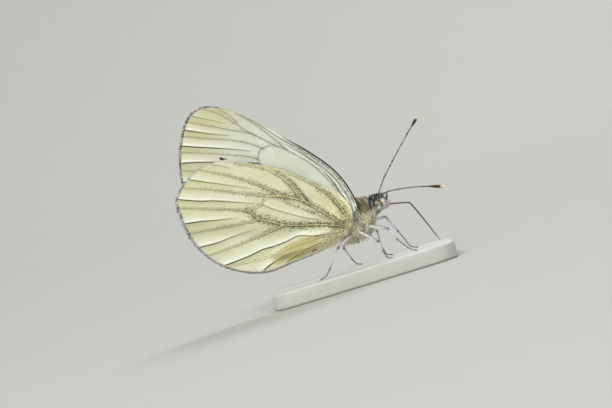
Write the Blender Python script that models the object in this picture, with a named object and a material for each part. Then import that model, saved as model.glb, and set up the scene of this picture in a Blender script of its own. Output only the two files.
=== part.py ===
"""A green-veined white butterfly (Pieris napi) at life size, standing with its wings closed.

The solids are drawn in millimetres with the butterfly facing +X, its right side towards -Y and
its feet on the plane Z = 0. At the end everything moves so that the middle of the whole model's
underside is the origin, in metres.
"""

import math

import bmesh
import bpy
import numpy as np
from mathutils import Matrix, Vector

MM = 0.001
GAP = 0.05  # between pieces that meet, mm
WING_THICKNESS = 0.55
WING_APART = 0.08  # between one wing sheet and the next
WING_OFF_BODY = 0.12
WING_RINGS = 7
HIND_SWING = 1.2  # degrees that the left hindwing hangs lower than the right one
TUBE_SIDES = 7
TUBE_END = 0.6  # how far a tube's rounded end reaches past its last ring, and how wide it ends, in radii
FEELER_RADIUS = 0.25
CLUB_SWELL = 0.08  # how much wider than a feeler its club is
PALP_RADIUS = (0.30, 0.25)

# Colours are linear RGB.
COLOURS = {
    "forewing": (0.66, 0.70, 0.58),
    "hindwing": (0.66, 0.68, 0.42),
    "fur": (0.34, 0.33, 0.25),
    "collar": (0.10, 0.09, 0.06),
    "head": (0.09, 0.085, 0.08),
    "eye": (0.22, 0.27, 0.20),
    "palp": (0.30, 0.29, 0.27),
    "feeler": (0.03, 0.025, 0.02),
    "club": (0.04, 0.035, 0.01),
    "proboscis": (0.05, 0.03, 0.03),
    "femur": (0.62, 0.60, 0.62),
    "shin": (0.42, 0.38, 0.42),
    "foot": (0.16, 0.11, 0.14),
    "stand": (0.72, 0.71, 0.68),
}

# The trunk's sections from the abdomen's tip to the face: the centre (x, z), then how far the
# coat reaches above it, below it and to each side.
TRUNK = [
    ((-4.05, 4.30), 0.12, 0.12, 0.10),
    ((-3.75, 4.31), 0.48, 0.46, 0.42),
    ((-2.60, 4.37), 0.78, 0.76, 0.70),
    ((-0.40, 4.55), 1.05, 1.02, 0.95),
    ((2.00, 4.80), 1.18, 1.15, 1.05),
    ((3.40, 4.98), 1.30, 1.40, 1.12),
    ((4.40, 5.15), 1.85, 2.15, 1.30),
    ((5.40, 5.45), 2.20, 2.55, 1.45),
    ((6.40, 5.78), 2.25, 2.45, 1.48),
    ((7.30, 6.08), 2.15, 1.72, 1.40),
    ((7.95, 6.32), 1.85, 1.28, 1.12),
    ((8.45, 6.50), 1.48, 1.12, 0.98),
    ((9.10, 6.62), 1.20, 1.08, 0.92),
    ((9.65, 6.68), 0.88, 0.84, 0.72),
    ((9.98, 6.70), 0.30, 0.30, 0.28),
]
# Where each part of the trunk stops and the next begins, along its centre line.
ABDOMEN_END = 3.60
THORAX_END = 7.25
NECK_END = 8.10
TAIL_ROUND = 1.2  # the abdomen's tip is rounded off about a point this far from its end
TAIL_REACH = 1.7  # and a wing keeps clear of it this far beyond that point

EYE_CENTRE = (8.98, 0.74, 6.42)
EYE_REACH = (0.68, 0.46, 0.72)

# Wing outlines in each wing's own measures: millimetres along the line from the wing's root to
# its tip, and millimetres towards the hind edge.
FOREWING = {
    "root": (6.30, 6.20),
    "angle": 132.1,
    "outline": [
        (0.9, 0.65), (0.45, -0.65), (1.3, -1.39), (3.2, -2.42), (5.6, -3.12), (9.6, -3.36),
        (13.3, -3.24), (16.9, -3.06), (19.4, -2.72), (21.3, -2.02), (22.45, -1.22),
        (23.05, -0.25), (23.2, 0.9), (22.7, 2.9), (21.67, 5.17), (19.95, 7.6), (18.1, 9.5),
        (16.6, 10.25), (14.6, 9.6), (10.25, 7.3), (4.97, 4.0),
    ],
    "hub": (3.2, 0.2),
}
HINDWING = {
    "root": (5.30, 5.40),
    "angle": 157.97,
    "outline": [
        (0.05, 0.1), (0.08, -0.95), (0.4, -1.85), (1.15, -2.72), (2.37, -3.59), (5.22, -4.45),
        (8.3, -5.5), (11.4, -5.94), (14.6, -5.92), (16.9, -5.72), (18.7, -4.74), (20.5, -2.45),
        (21.02, -0.62), (20.6, 0.5), (19.4, 2.9), (17.78, 4.77), (15.3, 6.3), (12.1, 6.95),
        (9.5, 6.65), (6.63, 5.27), (3.4, 3.7), (1.3, 2.3), (0.45, 1.2),
    ],
    "hub": (3.4, 0.3),
}
HIND_EDGE = [(4.9, 6.4), (0.0, 7.2), (-6.0, 8.9), (-12.0, 11.3)]  # the forewing's, under the hindwing

# Feelers and tongue: (x, y, z) points.
ANTENNA_LEFT = [
    (9.10, 0.30, 7.45), (10.37, 0.95, 9.13), (11.95, 1.75, 10.78), (13.73, 2.70, 12.49),
    (15.14, 3.50, 13.82), (15.75, 3.85, 14.35),
]
CLUB_LEFT = [(15.75, 3.85, 14.35), (16.15, 4.10, 14.70), (16.60, 4.37, 15.10)]
ANTENNA_RIGHT = [
    (9.10, -0.30, 7.20), (10.11, -1.15, 7.64), (11.49, -2.45, 7.66), (12.95, -3.80, 7.48),
    (14.37, -5.15, 7.20), (15.40, -6.12, 6.94),
]
CLUB_RIGHT = [(15.40, -6.12, 6.94), (16.15, -6.80, 6.70), (17.00, -7.55, 6.45)]
PROBOSCIS_UPPER = [(9.70, -0.02, 6.30), (11.23, -0.05, 5.97), (12.35, -0.10, 5.66), (12.66, -0.12, 5.45)]
PROBOSCIS_LOWER = [(12.66, -0.12, 5.45), (13.22, -0.14, 4.24), (13.78, -0.16, 2.86), (14.75, -0.20, 0.45)]
PALP = [(9.45, 0.30, 6.15), (9.98, 0.34, 6.75), (10.45, 0.36, 7.58)]

# Each leg from the hip to the toe: where the femur, shin and foot start, and the toe's end.
LEGS = {
    "front_right": [
        (6.90, -0.55, 4.45), (9.20, -1.75, 3.45), (9.86, -2.25, 1.88),
        (10.95, -2.75, 0.42), (11.61, -3.05, 0.0),
    ],
    "front_left": [
        (7.30, 0.55, 4.75), (9.35, 1.70, 4.78), (10.38, 2.20, 2.54),
        (11.25, 2.60, 0.45), (12.00, 2.90, 0.0),
    ],
    "middle_right": [
        (5.80, -0.70, 4.10), (7.61, -2.35, 2.32), (7.78, -3.00, 1.05),
        (8.05, -3.30, 0.30), (8.55, -3.60, 0.0),
    ],
    "middle_left": [
        (6.30, 0.70, 4.20), (7.90, 2.05, 3.45), (7.86, 2.75, 1.49),
        (8.20, 3.20, 0.38), (8.85, 3.50, 0.0),
    ],
    "hind_right": [
        (4.60, -0.70, 3.95), (2.75, -2.10, 2.98), (1.07, -2.95, 0.89),
        (0.45, -3.30, 0.28), (-0.25, -3.65, 0.0),
    ],
    "hind_left": [
        (4.60, 0.70, 3.95), (3.44, 2.15, 2.65), (4.05, 2.95, 0.95),
        (4.40, 3.30, 0.30), (4.95, 3.70, 0.0),
    ],
}
FEMUR_RADIUS = (0.36, 0.28)
SHIN_RADIUS = (0.26, 0.25)
FOOT_RADIUS = 0.25

STAND = {"x": (-6.5, 16.2), "half_width": 6.4, "thickness": 2.0, "corner": 3.0, "bevel": 0.3}


def clear_scene():
    for obj in list(bpy.data.objects):
        bpy.data.objects.remove(obj)


def material_for(name, roughness=0.6):
    mat = bpy.data.materials.get(name)
    if mat:
        return mat
    mat = bpy.data.materials.new(name)
    mat.use_nodes = True
    shader = mat.node_tree.nodes["Principled BSDF"]
    shader.inputs["Base Color"].default_value = (*COLOURS[name], 1.0)
    shader.inputs["Roughness"].default_value = roughness
    shader.inputs["Metallic"].default_value = 0.0
    return mat


def smooth_step(t):
    t = min(max(t, 0.0), 1.0)
    return t * t * (3.0 - 2.0 * t)


def smooth_curve(knots, per_span, closed=False):
    """Points on the centripetal Catmull-Rom curve through the knots."""
    pts = [Vector(k) for k in knots]
    if closed:
        pts = [pts[-1]] + pts + pts[:2]
    else:
        pts = [pts[0] * 2 - pts[1]] + pts + [pts[-1] * 2 - pts[-2]]
    out = []
    for p0, p1, p2, p3 in zip(pts, pts[1:], pts[2:], pts[3:]):
        t0 = 0.0
        t1 = t0 + math.sqrt((p1 - p0).length)
        t2 = t1 + math.sqrt((p2 - p1).length)
        t3 = t2 + math.sqrt((p3 - p2).length)
        for step in range(per_span):
            t = t1 + (t2 - t1) * step / per_span
            a1 = p0.lerp(p1, (t - t0) / (t1 - t0))
            a2 = p1.lerp(p2, (t - t1) / (t2 - t1))
            a3 = p2.lerp(p3, (t - t2) / (t3 - t2))
            b1 = a1.lerp(a2, (t - t0) / (t2 - t0))
            b2 = a2.lerp(a3, (t - t1) / (t3 - t1))
            out.append(b1.lerp(b2, (t - t1) / (t2 - t1)))
    if not closed:
        out.append(pts[-2].copy())
    return out


def add_object(name, bm, material):
    bmesh.ops.recalc_face_normals(bm, faces=bm.faces)
    mesh = bpy.data.meshes.new(name)
    bm.to_mesh(mesh)
    bm.free()
    mesh.shade_smooth()
    mesh.set_sharp_from_angle(angle=math.radians(40))
    mesh.materials.append(material_for(material))
    obj = bpy.data.objects.new(name, mesh)
    bpy.context.scene.collection.objects.link(obj)
    return obj


def skin_rings(bm, rings):
    """Joins rings of points into a closed skin with a flat face at each end."""
    loops = [[bm.verts.new(p) for p in ring] for ring in rings]
    for one, two in zip(loops, loops[1:]):
        for i in range(len(one)):
            j = (i + 1) % len(one)
            bm.faces.new((one[i], one[j], two[j], two[i]))
    bm.faces.new(loops[0][::-1])
    bm.faces.new(loops[-1])


def trunk_section(x):
    """The centre and the reach up, down and sideways of the trunk where its centre line is at x."""
    xs = [row[0][0] for row in TRUNK]
    columns = zip(*[(row[0][1], row[1], row[2], row[3]) for row in TRUNK])
    z, up, down, side = (float(np.interp(x, xs, column)) for column in columns)
    return z, up, down, side


def trunk_slope(x):
    before, after = trunk_section(x - 0.4)[0], trunk_section(x + 0.4)[0]
    return math.atan2(after - before, 0.8)


def trunk_ring(x, grow, count):
    """A ring of the trunk square to its centre line. grow makes it wider all round."""
    z, up, down, side = trunk_section(x)
    lean = trunk_slope(x)
    ring = []
    for i in range(count):
        turn = 2 * math.pi * i / count
        across = (side + grow) * math.sin(turn)
        high = ((up if math.cos(turn) > 0 else down) + grow) * math.cos(turn)
        ring.append(Vector((x - high * math.sin(lean), across, z + high * math.cos(lean))))
    return ring


def trunk_mesh(start, end, steps, count, grow=0.0):
    bm = bmesh.new()
    xs = [start + (end - start) * 0.5 * (1 - math.cos(math.pi * k / steps)) for k in range(steps + 1)]
    skin_rings(bm, [trunk_ring(x, grow, count) for x in xs])
    return bm


def body_clearance(x, z):
    """How far from the midline a wing has to stay at (x, z) to pass outside the trunk."""
    last = TRUNK[0][0][0] + TAIL_ROUND
    cx = max(x + 0.25 * (z - trunk_section(x)[0]), last)
    cz, up, down, side = trunk_section(cx)
    past = min(x - last, 0.0) / TAIL_REACH
    reach = math.hypot((z - cz) / (up if z > cz else down), past)
    return (side + WING_OFF_BODY) * (1 - smooth_step((reach - 0.35) / 1.25))


def wing_point(wing, along, back):
    """(x, z) of a point given in a wing's own measures."""
    turn = math.radians(wing["angle"])
    ax, az = math.cos(turn), math.sin(turn)
    return (wing["root"][0] + along * ax - back * az, wing["root"][1] + along * az + back * ax)


def above_hind_edge(x, z):
    xs, zs = zip(*HIND_EDGE[::-1])
    return z - float(np.interp(x, xs, zs))


def forewing_inner(x, z):
    return WING_APART / 2 + body_clearance(x, z)


def hindwing_inner(x, z):
    """The hindwing lies on the forewing, and closes to the midline below the forewing's hind edge."""
    from_root = math.hypot(x - HINDWING["root"][0], z - HINDWING["root"][1])
    ramp = min(0.8 + 0.15 * from_root, 2.2)
    over = smooth_step((above_hind_edge(x, z) + 0.2 + ramp) / ramp)
    return WING_APART / 2 + (WING_THICKNESS + WING_APART) * over + body_clearance(x, z)


def make_wing(name, wing, inner, side, material):
    """A wing sheet: rings of its outline shrunk towards a hub, once for each face."""
    outline = [wing_point(wing, p[0], p[1]) for p in smooth_curve(wing["outline"], 2, closed=True)]
    hub = wing_point(wing, *wing["hub"])
    bm = bmesh.new()
    faces_of = []
    for outside in (0, 1):
        def vertex(x, z):
            reach = inner(x, z) + (WING_THICKNESS if outside else 0.0)
            return bm.verts.new((x, side * reach, z))

        centre = vertex(*hub)
        loops = []
        for ring in range(1, WING_RINGS + 1):
            share = ring / WING_RINGS
            loops.append([
                vertex(hub[0] + (x - hub[0]) * share, hub[1] + (z - hub[1]) * share)
                for x, z in outline
            ])
        faces_of.append((centre, loops))
    count = len(outline)
    for centre, loops in faces_of:
        for i in range(count):
            j = (i + 1) % count
            bm.faces.new((centre, loops[0][i], loops[0][j]))
            for one, two in zip(loops, loops[1:]):
                bm.faces.new((one[i], two[i], two[j], one[j]))
    near, far = faces_of[0][1][-1], faces_of[1][1][-1]
    for i in range(count):
        j = (i + 1) % count
        bm.faces.new((near[i], near[j], far[j], far[i]))
    return add_object(name, bm, material)


def tube_mesh(points, radius_at):
    """A tube along the points with rounded ends. radius_at takes the share of the way, 0 to 1."""
    lengths = [0.0]
    for one, two in zip(points, points[1:]):
        lengths.append(lengths[-1] + (two - one).length)
    total = lengths[-1]
    frame_up = Vector((0.0, 1.0, 0.0))
    rings = []
    for i, point in enumerate(points):
        ahead = points[min(i + 1, len(points) - 1)] - points[max(i - 1, 0)]
        ahead.normalize()
        across = (frame_up - ahead * frame_up.dot(ahead)).normalized()
        third = ahead.cross(across)
        radius = radius_at(lengths[i] / total)
        ring = []
        for k in range(TUBE_SIDES):
            turn = 2 * math.pi * k / TUBE_SIDES
            ring.append(point + (across * math.cos(turn) + third * math.sin(turn)) * radius)
        if i == 0:
            rings.append([point + (p - point - ahead * radius) * TUBE_END for p in ring])
        rings.append(ring)
        if i == len(points) - 1:
            rings.append([point + (p - point + ahead * radius) * TUBE_END for p in ring])
    bm = bmesh.new()
    skin_rings(bm, rings)
    return bm


def add_cut(obj, cutter):
    cut = obj.modifiers.new("part", "BOOLEAN")
    cut.operation = "DIFFERENCE"
    cut.solver = "EXACT"
    cut.object = cutter
    return cut


def make_cutter(name, bm):
    obj = add_object(name, bm, "stand")
    obj.hide_render = True
    obj.display_type = "WIRE"
    return obj


def make_trunk(cutter_of):
    spans = {
        "abdomen": (TRUNK[0][0][0], ABDOMEN_END - GAP / 2, 12, 14, "fur"),
        "thorax": (ABDOMEN_END + GAP / 2, THORAX_END - GAP / 2, 9, 18, "fur"),
        "neck": (THORAX_END + GAP / 2, NECK_END - GAP / 2, 3, 18, "collar"),
        "head": (NECK_END + GAP / 2, TRUNK[-1][0][0], 9, 18, "head"),
    }
    for name, (start, end, steps, count, material) in spans.items():
        add_object(name, trunk_mesh(start, end, steps, count), material)
    whole = trunk_mesh(TRUNK[0][0][0] + GAP, TRUNK[-1][0][0] - GAP, 26, 18, GAP)
    cutter_of["trunk"] = make_cutter("trunk_cutter", whole)


def ellipsoid(centre, reach, grow=0.0):
    bm = bmesh.new()
    bmesh.ops.create_icosphere(bm, subdivisions=2, radius=1.0)
    for vert in bm.verts:
        vert.co = Vector(c + v * (r + grow) for c, v, r in zip(centre, vert.co, reach))
    return bm


def make_eyes():
    head = bpy.data.objects["head"]
    for side, sign in (("left", 1), ("right", -1)):
        centre = (EYE_CENTRE[0], EYE_CENTRE[1] * sign, EYE_CENTRE[2])
        add_object("eye_" + side, ellipsoid(centre, EYE_REACH), "eye")
        socket = make_cutter("eye_cutter_" + side, ellipsoid(centre, EYE_REACH, GAP))
        add_cut(head, socket)


def mirrored(points):
    return [(x, -y, z) for x, y, z in points]


def cut_tube(name, points, radius_at, material, cutter):
    """A tube that stops short of the trunk."""
    add_cut(add_object(name, tube_mesh(points, radius_at), material), cutter)


def make_feelers(cutter_of):
    def shaft(share):
        return FEELER_RADIUS

    def club(share):
        return FEELER_RADIUS + CLUB_SWELL * math.sin(math.pi * min(share * 1.15, 1.0))

    thick, thin = PALP_RADIUS
    joint = FEELER_RADIUS * TUBE_END + GAP / 2
    trunk = cutter_of["trunk"]
    for side, route, tip in (("left", ANTENNA_LEFT, CLUB_LEFT), ("right", ANTENNA_RIGHT, CLUB_RIGHT)):
        cut_tube("antenna_" + side, pulled_back(smooth_curve(route, 2), 0.0, joint), shaft, "feeler", trunk)
        points = pulled_back(smooth_curve(tip, 3), joint, FEELER_RADIUS * TUBE_END)
        add_object("club_" + side, tube_mesh(points, club), "club")
    points = pulled_back(smooth_curve(PROBOSCIS_UPPER, 2), 0.0, joint)
    cut_tube("proboscis_upper", points, shaft, "proboscis", trunk)
    points = pulled_back(smooth_curve(PROBOSCIS_LOWER, 2), joint, 0.0)
    add_object("proboscis_lower", tube_mesh(points, shaft), "proboscis")
    for side, route in (("left", PALP), ("right", mirrored(PALP))):
        points = smooth_curve(route, 3)
        cut_tube("palp_" + side, points, lambda share: thick + (thin - thick) * share, "palp", trunk)


def pulled_back(points, at_start, at_end):
    """The same route with each end moved inwards along it."""
    points = [p.copy() for p in points]
    points[0] += (points[1] - points[0]).normalized() * at_start
    points[-1] += (points[-2] - points[-1]).normalized() * at_end
    return points


def make_legs(cutter_of):
    trunk = cutter_of["trunk"]
    for leg, marks in LEGS.items():
        hip, knee, ankle, ball, toe = (Vector(p) for p in marks)
        lift = Vector((0.0, 0.0, FOOT_RADIUS + GAP))
        ball.z = max(ball.z, lift.z)
        toe.z = lift.z
        end = FOOT_RADIUS * TUBE_END + GAP / 2
        thick, thin = FEMUR_RADIUS
        points = pulled_back([hip, hip.lerp(knee, 0.5), knee], 0.0, end)
        cut_tube("femur_" + leg, points, lambda share: thick + (thin - thick) * share, "femur", trunk)
        top, low = SHIN_RADIUS
        points = pulled_back([knee, knee.lerp(ankle, 0.5), ankle], end, end)
        add_object("tibia_" + leg, tube_mesh(points, lambda share: top + (low - top) * share), "shin")
        points = pulled_back([ankle, ankle.lerp(ball, 0.5), ball, toe], end, 0.0)
        add_object("tarsus_" + leg, tube_mesh(points, lambda share: FOOT_RADIUS), "foot")


def make_stand():
    (left, right), half = STAND["x"], STAND["half_width"]
    radius, bevel, deep = STAND["corner"], STAND["bevel"], STAND["thickness"]
    steps = 6  # per corner
    rings = []
    for z, inset in ((-deep, bevel), (-deep + bevel, 0.0), (-bevel, 0.0), (0.0, bevel)):
        ring = []
        corners = ((right, half, 0), (left, half, 90), (left, -half, 180), (right, -half, 270))
        for cx, cy, start in corners:
            mx = cx - math.copysign(radius, cx - (left + right) / 2)
            my = cy - math.copysign(radius, cy)
            for step in range(steps + 1):
                turn = math.radians(start + 90 * step / steps)
                reach = radius - inset
                ring.append(Vector((mx + reach * math.cos(turn), my + reach * math.sin(turn), z)))
        rings.append(ring)
    bm = bmesh.new()
    skin_rings(bm, rings)
    add_object("stand_base", bm, "stand")


def settle():
    """Applies the cuts, then moves the whole model to its place over the origin, in metres."""
    bpy.context.view_layer.update()
    graph = bpy.context.evaluated_depsgraph_get()
    parts = [o for o in bpy.context.scene.objects if not o.hide_render]
    for obj in parts:
        if obj.modifiers:
            mesh = bpy.data.meshes.new_from_object(obj.evaluated_get(graph))
            obj.modifiers.clear()
            obj.data = mesh
    for obj in [o for o in bpy.context.scene.objects if o.hide_render]:
        bpy.data.objects.remove(obj)
    points = np.array([v.co for obj in parts for v in obj.data.vertices])
    low, high = points.min(axis=0), points.max(axis=0)
    shift = Vector((-(low[0] + high[0]) / 2, -(low[1] + high[1]) / 2, -low[2]))
    place = Matrix.Scale(MM, 4) @ Matrix.Translation(shift)
    for obj in parts:
        obj.data.transform(place)


def main():
    clear_scene()
    cutter_of = {}
    make_trunk(cutter_of)
    make_eyes()
    make_feelers(cutter_of)
    make_legs(cutter_of)
    for side, sign in (("right", -1), ("left", 1)):
        make_wing("forewing_" + side, FOREWING, forewing_inner, sign, "forewing")
        swing = HIND_SWING if side == "left" else 0.0
        hindwing = dict(HINDWING, angle=HINDWING["angle"] + swing)
        make_wing("hindwing_" + side, hindwing, hindwing_inner, sign, "hindwing")
    make_stand()
    settle()


main()
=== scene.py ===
# A green-veined white butterfly at life size, standing on a plain plate with its wings closed.
# Shapes are drawn in millimetres, facing +X with the feet on Z = 0, then put on the frame.
import math

import bmesh
import bpy
import numpy as np
from mathutils import Matrix, Vector


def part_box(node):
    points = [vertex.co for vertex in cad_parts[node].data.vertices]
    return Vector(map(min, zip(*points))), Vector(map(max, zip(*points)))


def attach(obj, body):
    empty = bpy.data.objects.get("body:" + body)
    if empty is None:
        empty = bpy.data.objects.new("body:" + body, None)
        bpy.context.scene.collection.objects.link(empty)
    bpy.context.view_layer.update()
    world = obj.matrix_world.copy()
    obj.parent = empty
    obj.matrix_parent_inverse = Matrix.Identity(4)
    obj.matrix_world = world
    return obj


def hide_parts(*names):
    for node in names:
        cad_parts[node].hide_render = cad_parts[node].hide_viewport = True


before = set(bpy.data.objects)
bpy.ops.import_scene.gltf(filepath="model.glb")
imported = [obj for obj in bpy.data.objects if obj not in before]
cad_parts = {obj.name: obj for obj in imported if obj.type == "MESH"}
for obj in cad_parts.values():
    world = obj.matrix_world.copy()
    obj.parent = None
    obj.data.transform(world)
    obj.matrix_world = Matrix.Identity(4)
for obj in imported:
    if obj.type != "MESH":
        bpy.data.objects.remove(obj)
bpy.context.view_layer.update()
scene = bpy.context.scene
mm = 0.001

stand = {
    "length": (-6.5, 16.2), "halfWidth": 6.4, "thickness": 2.0, "corner": 3.0, "cornerSteps": 14,
    "bevel": 0.35, "bevelSteps": 5, "colour": (0.62, 0.61, 0.585), "roughness": 0.42,
}
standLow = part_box("stand_base")[0]
origin = Vector((
    standLow.x - stand["length"][0] * mm,
    standLow.y + stand["halfWidth"] * mm,
    standLow.z + stand["thickness"] * mm,
))


def place(points):
    # millimetres of the drawing to metres of the frame
    return np.asarray(points, float) * mm + np.array(origin)


def smoothStep(t):
    t = np.clip(t, 0.0, 1.0)
    return t * t * (3.0 - 2.0 * t)


def blend(value, low, high):
    return smoothStep((value - low) / (high - low))


def srgb(*levels):
    return tuple(((c / 255 + 0.055) / 1.055) ** 2.4 if c > 10 else c / 255 / 12.92 for c in levels)


def smoothCurve(knots, perSpan, closed=False):
    # centripetal Catmull-Rom through the knots, any number of dimensions
    pts = np.asarray(knots, float)
    if closed:
        pts = np.vstack([pts[-1], pts, pts[:2]])
    else:
        pts = np.vstack([2 * pts[0] - pts[1], pts, 2 * pts[-1] - pts[-2]])
    out = []
    for p0, p1, p2, p3 in zip(pts, pts[1:], pts[2:], pts[3:]):
        t1 = math.sqrt(np.linalg.norm(p1 - p0))
        t2 = t1 + math.sqrt(np.linalg.norm(p2 - p1))
        t3 = t2 + math.sqrt(np.linalg.norm(p3 - p2))
        for step in range(perSpan):
            t = t1 + (t2 - t1) * step / perSpan
            a1 = p0 + (p1 - p0) * t / t1
            a2 = p1 + (p2 - p1) * (t - t1) / (t2 - t1)
            a3 = p2 + (p3 - p2) * (t - t2) / (t3 - t2)
            b1 = a1 + (a2 - a1) * t / t2
            b2 = a2 + (a3 - a2) * (t - t1) / (t3 - t1)
            out.append(b1 + (b2 - b1) * (t - t1) / (t2 - t1))
    if not closed:
        out.append(pts[-2])
    return np.array(out)


def measure(path):
    # the lengths of a path's pieces, and how far along it each of its points lies
    lengths = np.linalg.norm(np.diff(path, axis=0), axis=1)
    return lengths, np.concatenate([[0.0], np.cumsum(lengths)])


def evenly(path, step):
    # the same path with points about one step apart
    run = measure(path)[1]
    wanted = np.linspace(0.0, run[-1], max(2, int(round(run[-1] / step)) + 1))
    return np.column_stack([np.interp(wanted, run, path[:, k]) for k in range(path.shape[1])])


def atShares(table, count):
    # numbers or colours at evenly spaced shares, from (share, value) stops
    wanted, shares = np.linspace(0.0, 1.0, count), [stop[0] for stop in table]
    values = np.array([stop[1] for stop in table], float)
    if values.ndim == 1:
        return np.interp(wanted, shares, values)
    return np.column_stack([np.interp(wanted, shares, column) for column in values.T])


def unit(ways, least=0.0):
    return ways / np.maximum(np.linalg.norm(ways, axis=1), least)[:, None]


def span(value, low, full, stay, end):
    # rises from low to full, falls again from stay to end
    return blend(value, low, full) * (1 - blend(value, stay, end))


def peak(value, middle, width):
    return np.exp(-((value - middle) / width) ** 2)


def ringPoints(sides, radius, z):
    turns = (2 * math.pi * i / sides for i in range(sides))
    return [(radius * math.cos(turn), radius * math.sin(turn), z) for turn in turns]


def bandFaces(rings, sides, start=0):
    # the faces between rings of points that follow each other
    faces = []
    for k in range(rings - 1):
        a = start + k * sides
        b = a + sides
        faces += [(a + i, a + (i + 1) % sides, b + (i + 1) % sides, b + i) for i in range(sides)]
    return faces


def capFaces(rings, sides, start=0):
    # the first and the last ring closed with a face each
    last = start + (rings - 1) * sides
    return [tuple(range(start, start + sides))[::-1], tuple(range(last, last + sides))]


def latheFaces(rings, sides, closed):
    # faces from a first middle point over rings of points, and to a last middle point if closed
    faces = []
    last = 1 + (rings - 1) * sides
    for i in range(sides):
        j = (i + 1) % sides
        faces.append((0, 1 + i, 1 + j))
        faces += [(a + i, a + sides + i, a + sides + j, a + j) for a in range(1, last, sides)]
        if closed:
            faces.append((last + j, last + i, last + sides))
    return faces


def addObject(name, data):
    obj = bpy.data.objects.new(name, data)
    scene.collection.objects.link(obj)
    return obj


def newMesh(name, points, faces, material):
    mesh = bpy.data.meshes.new(name)
    mesh.from_pydata([tuple(p) for p in points], [], [tuple(f) for f in faces])
    mesh.validate()
    mesh.shade_smooth()
    mesh.materials.append(material)
    return addObject(name, mesh)


def lineMesh(name, paths):
    # each path as a chain of edges
    edges, start = [], 0
    for path in paths:
        edges += [(start + i, start + i + 1) for i in range(len(path) - 1)]
        start += len(path)
    mesh = bpy.data.meshes.new(name)
    mesh.from_pydata([tuple(p) for p in place(np.vstack(paths))], edges, [])
    return mesh


def dress(obj, slot, *nodes):
    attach(obj, "root")
    if nodes:
        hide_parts(*nodes)


def setFloats(mesh, **fields):
    for key, values in fields.items():
        mesh.attributes.new(key, "FLOAT", "POINT").data.foreach_set("value", values.astype(np.float32))


def setVectors(mesh, **fields):
    for key, values in fields.items():
        data = mesh.attributes.new(key, "FLOAT_VECTOR", "POINT").data
        data.foreach_set("vector", np.ascontiguousarray(values, np.float32).ravel())


def setTint(mesh, colours):
    rows = np.ones((len(mesh.vertices), 4), np.float32)
    rows[:, :3] = colours
    mesh.attributes.new("tint", "FLOAT_COLOR", "POINT").data.foreach_set("color", rows.ravel())


def cornerPoints(mesh):
    # which point each corner of the faces is on
    corners = np.empty(len(mesh.loops), np.int64)
    mesh.loops.foreach_get("vertex_index", corners)
    return corners


def mendSeam(mesh, u, reach):
    # where a face crosses the map's seam, its low corners move up by the map's reach
    for polygon in mesh.polygons:
        part = slice(polygon.loop_start, polygon.loop_start + polygon.loop_total)
        if polygon.loop_total <= 4 and u[part].max() - u[part].min() > reach / 2:
            u[part] = np.where(u[part] < u[part].mean(), u[part] + reach, u[part])


def setMap(mesh, spread):
    # spread holds a place on the map for each corner
    layer = mesh.uv_layers.new(name="OFBake")
    layer.data.foreach_set("uv", np.ascontiguousarray(spread, np.float32).ravel())


class Builder:
    # what shader trees and geometry trees have in common
    def add(self, kind, settings=None, **inputs):
        node = self.tree.nodes.new(kind)
        for key, value in (settings or {}).items():
            setattr(node, key, value)
        for label, value in inputs.items():
            self.feed(self.socket(node, label), value)
        return node

    def socket(self, node, label):
        label = label.replace("_", " ")
        found = [s for s in node.inputs if s.name == label and s.enabled]
        return next((s for s in found if not s.is_inactive), found[0])

    def feed(self, socket, value):
        if isinstance(value, bpy.types.NodeSocket):
            self.tree.links.new(value, socket)
        else:
            socket.default_value = value

    def math(self, operation, *values):
        node = self.add("ShaderNodeMath", {"operation": operation})
        for socket, value in zip(node.inputs, values):
            self.feed(socket, value)
        return node.outputs[0]

    def times(self, first, *others):
        for other in others:
            first = self.math("MULTIPLY", first, other)
        return first

    def plus(self, a, b):
        return self.math("ADD", a, b)

    def vector(self, operation, a, b=None, output="Vector"):
        node = self.add("ShaderNodeVectorMath", {"operation": operation})
        self.feed(node.inputs[0], a)
        if b is not None:
            self.feed(node.inputs["Scale" if operation == "SCALE" else 1], b)
        return node.outputs[output]


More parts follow.
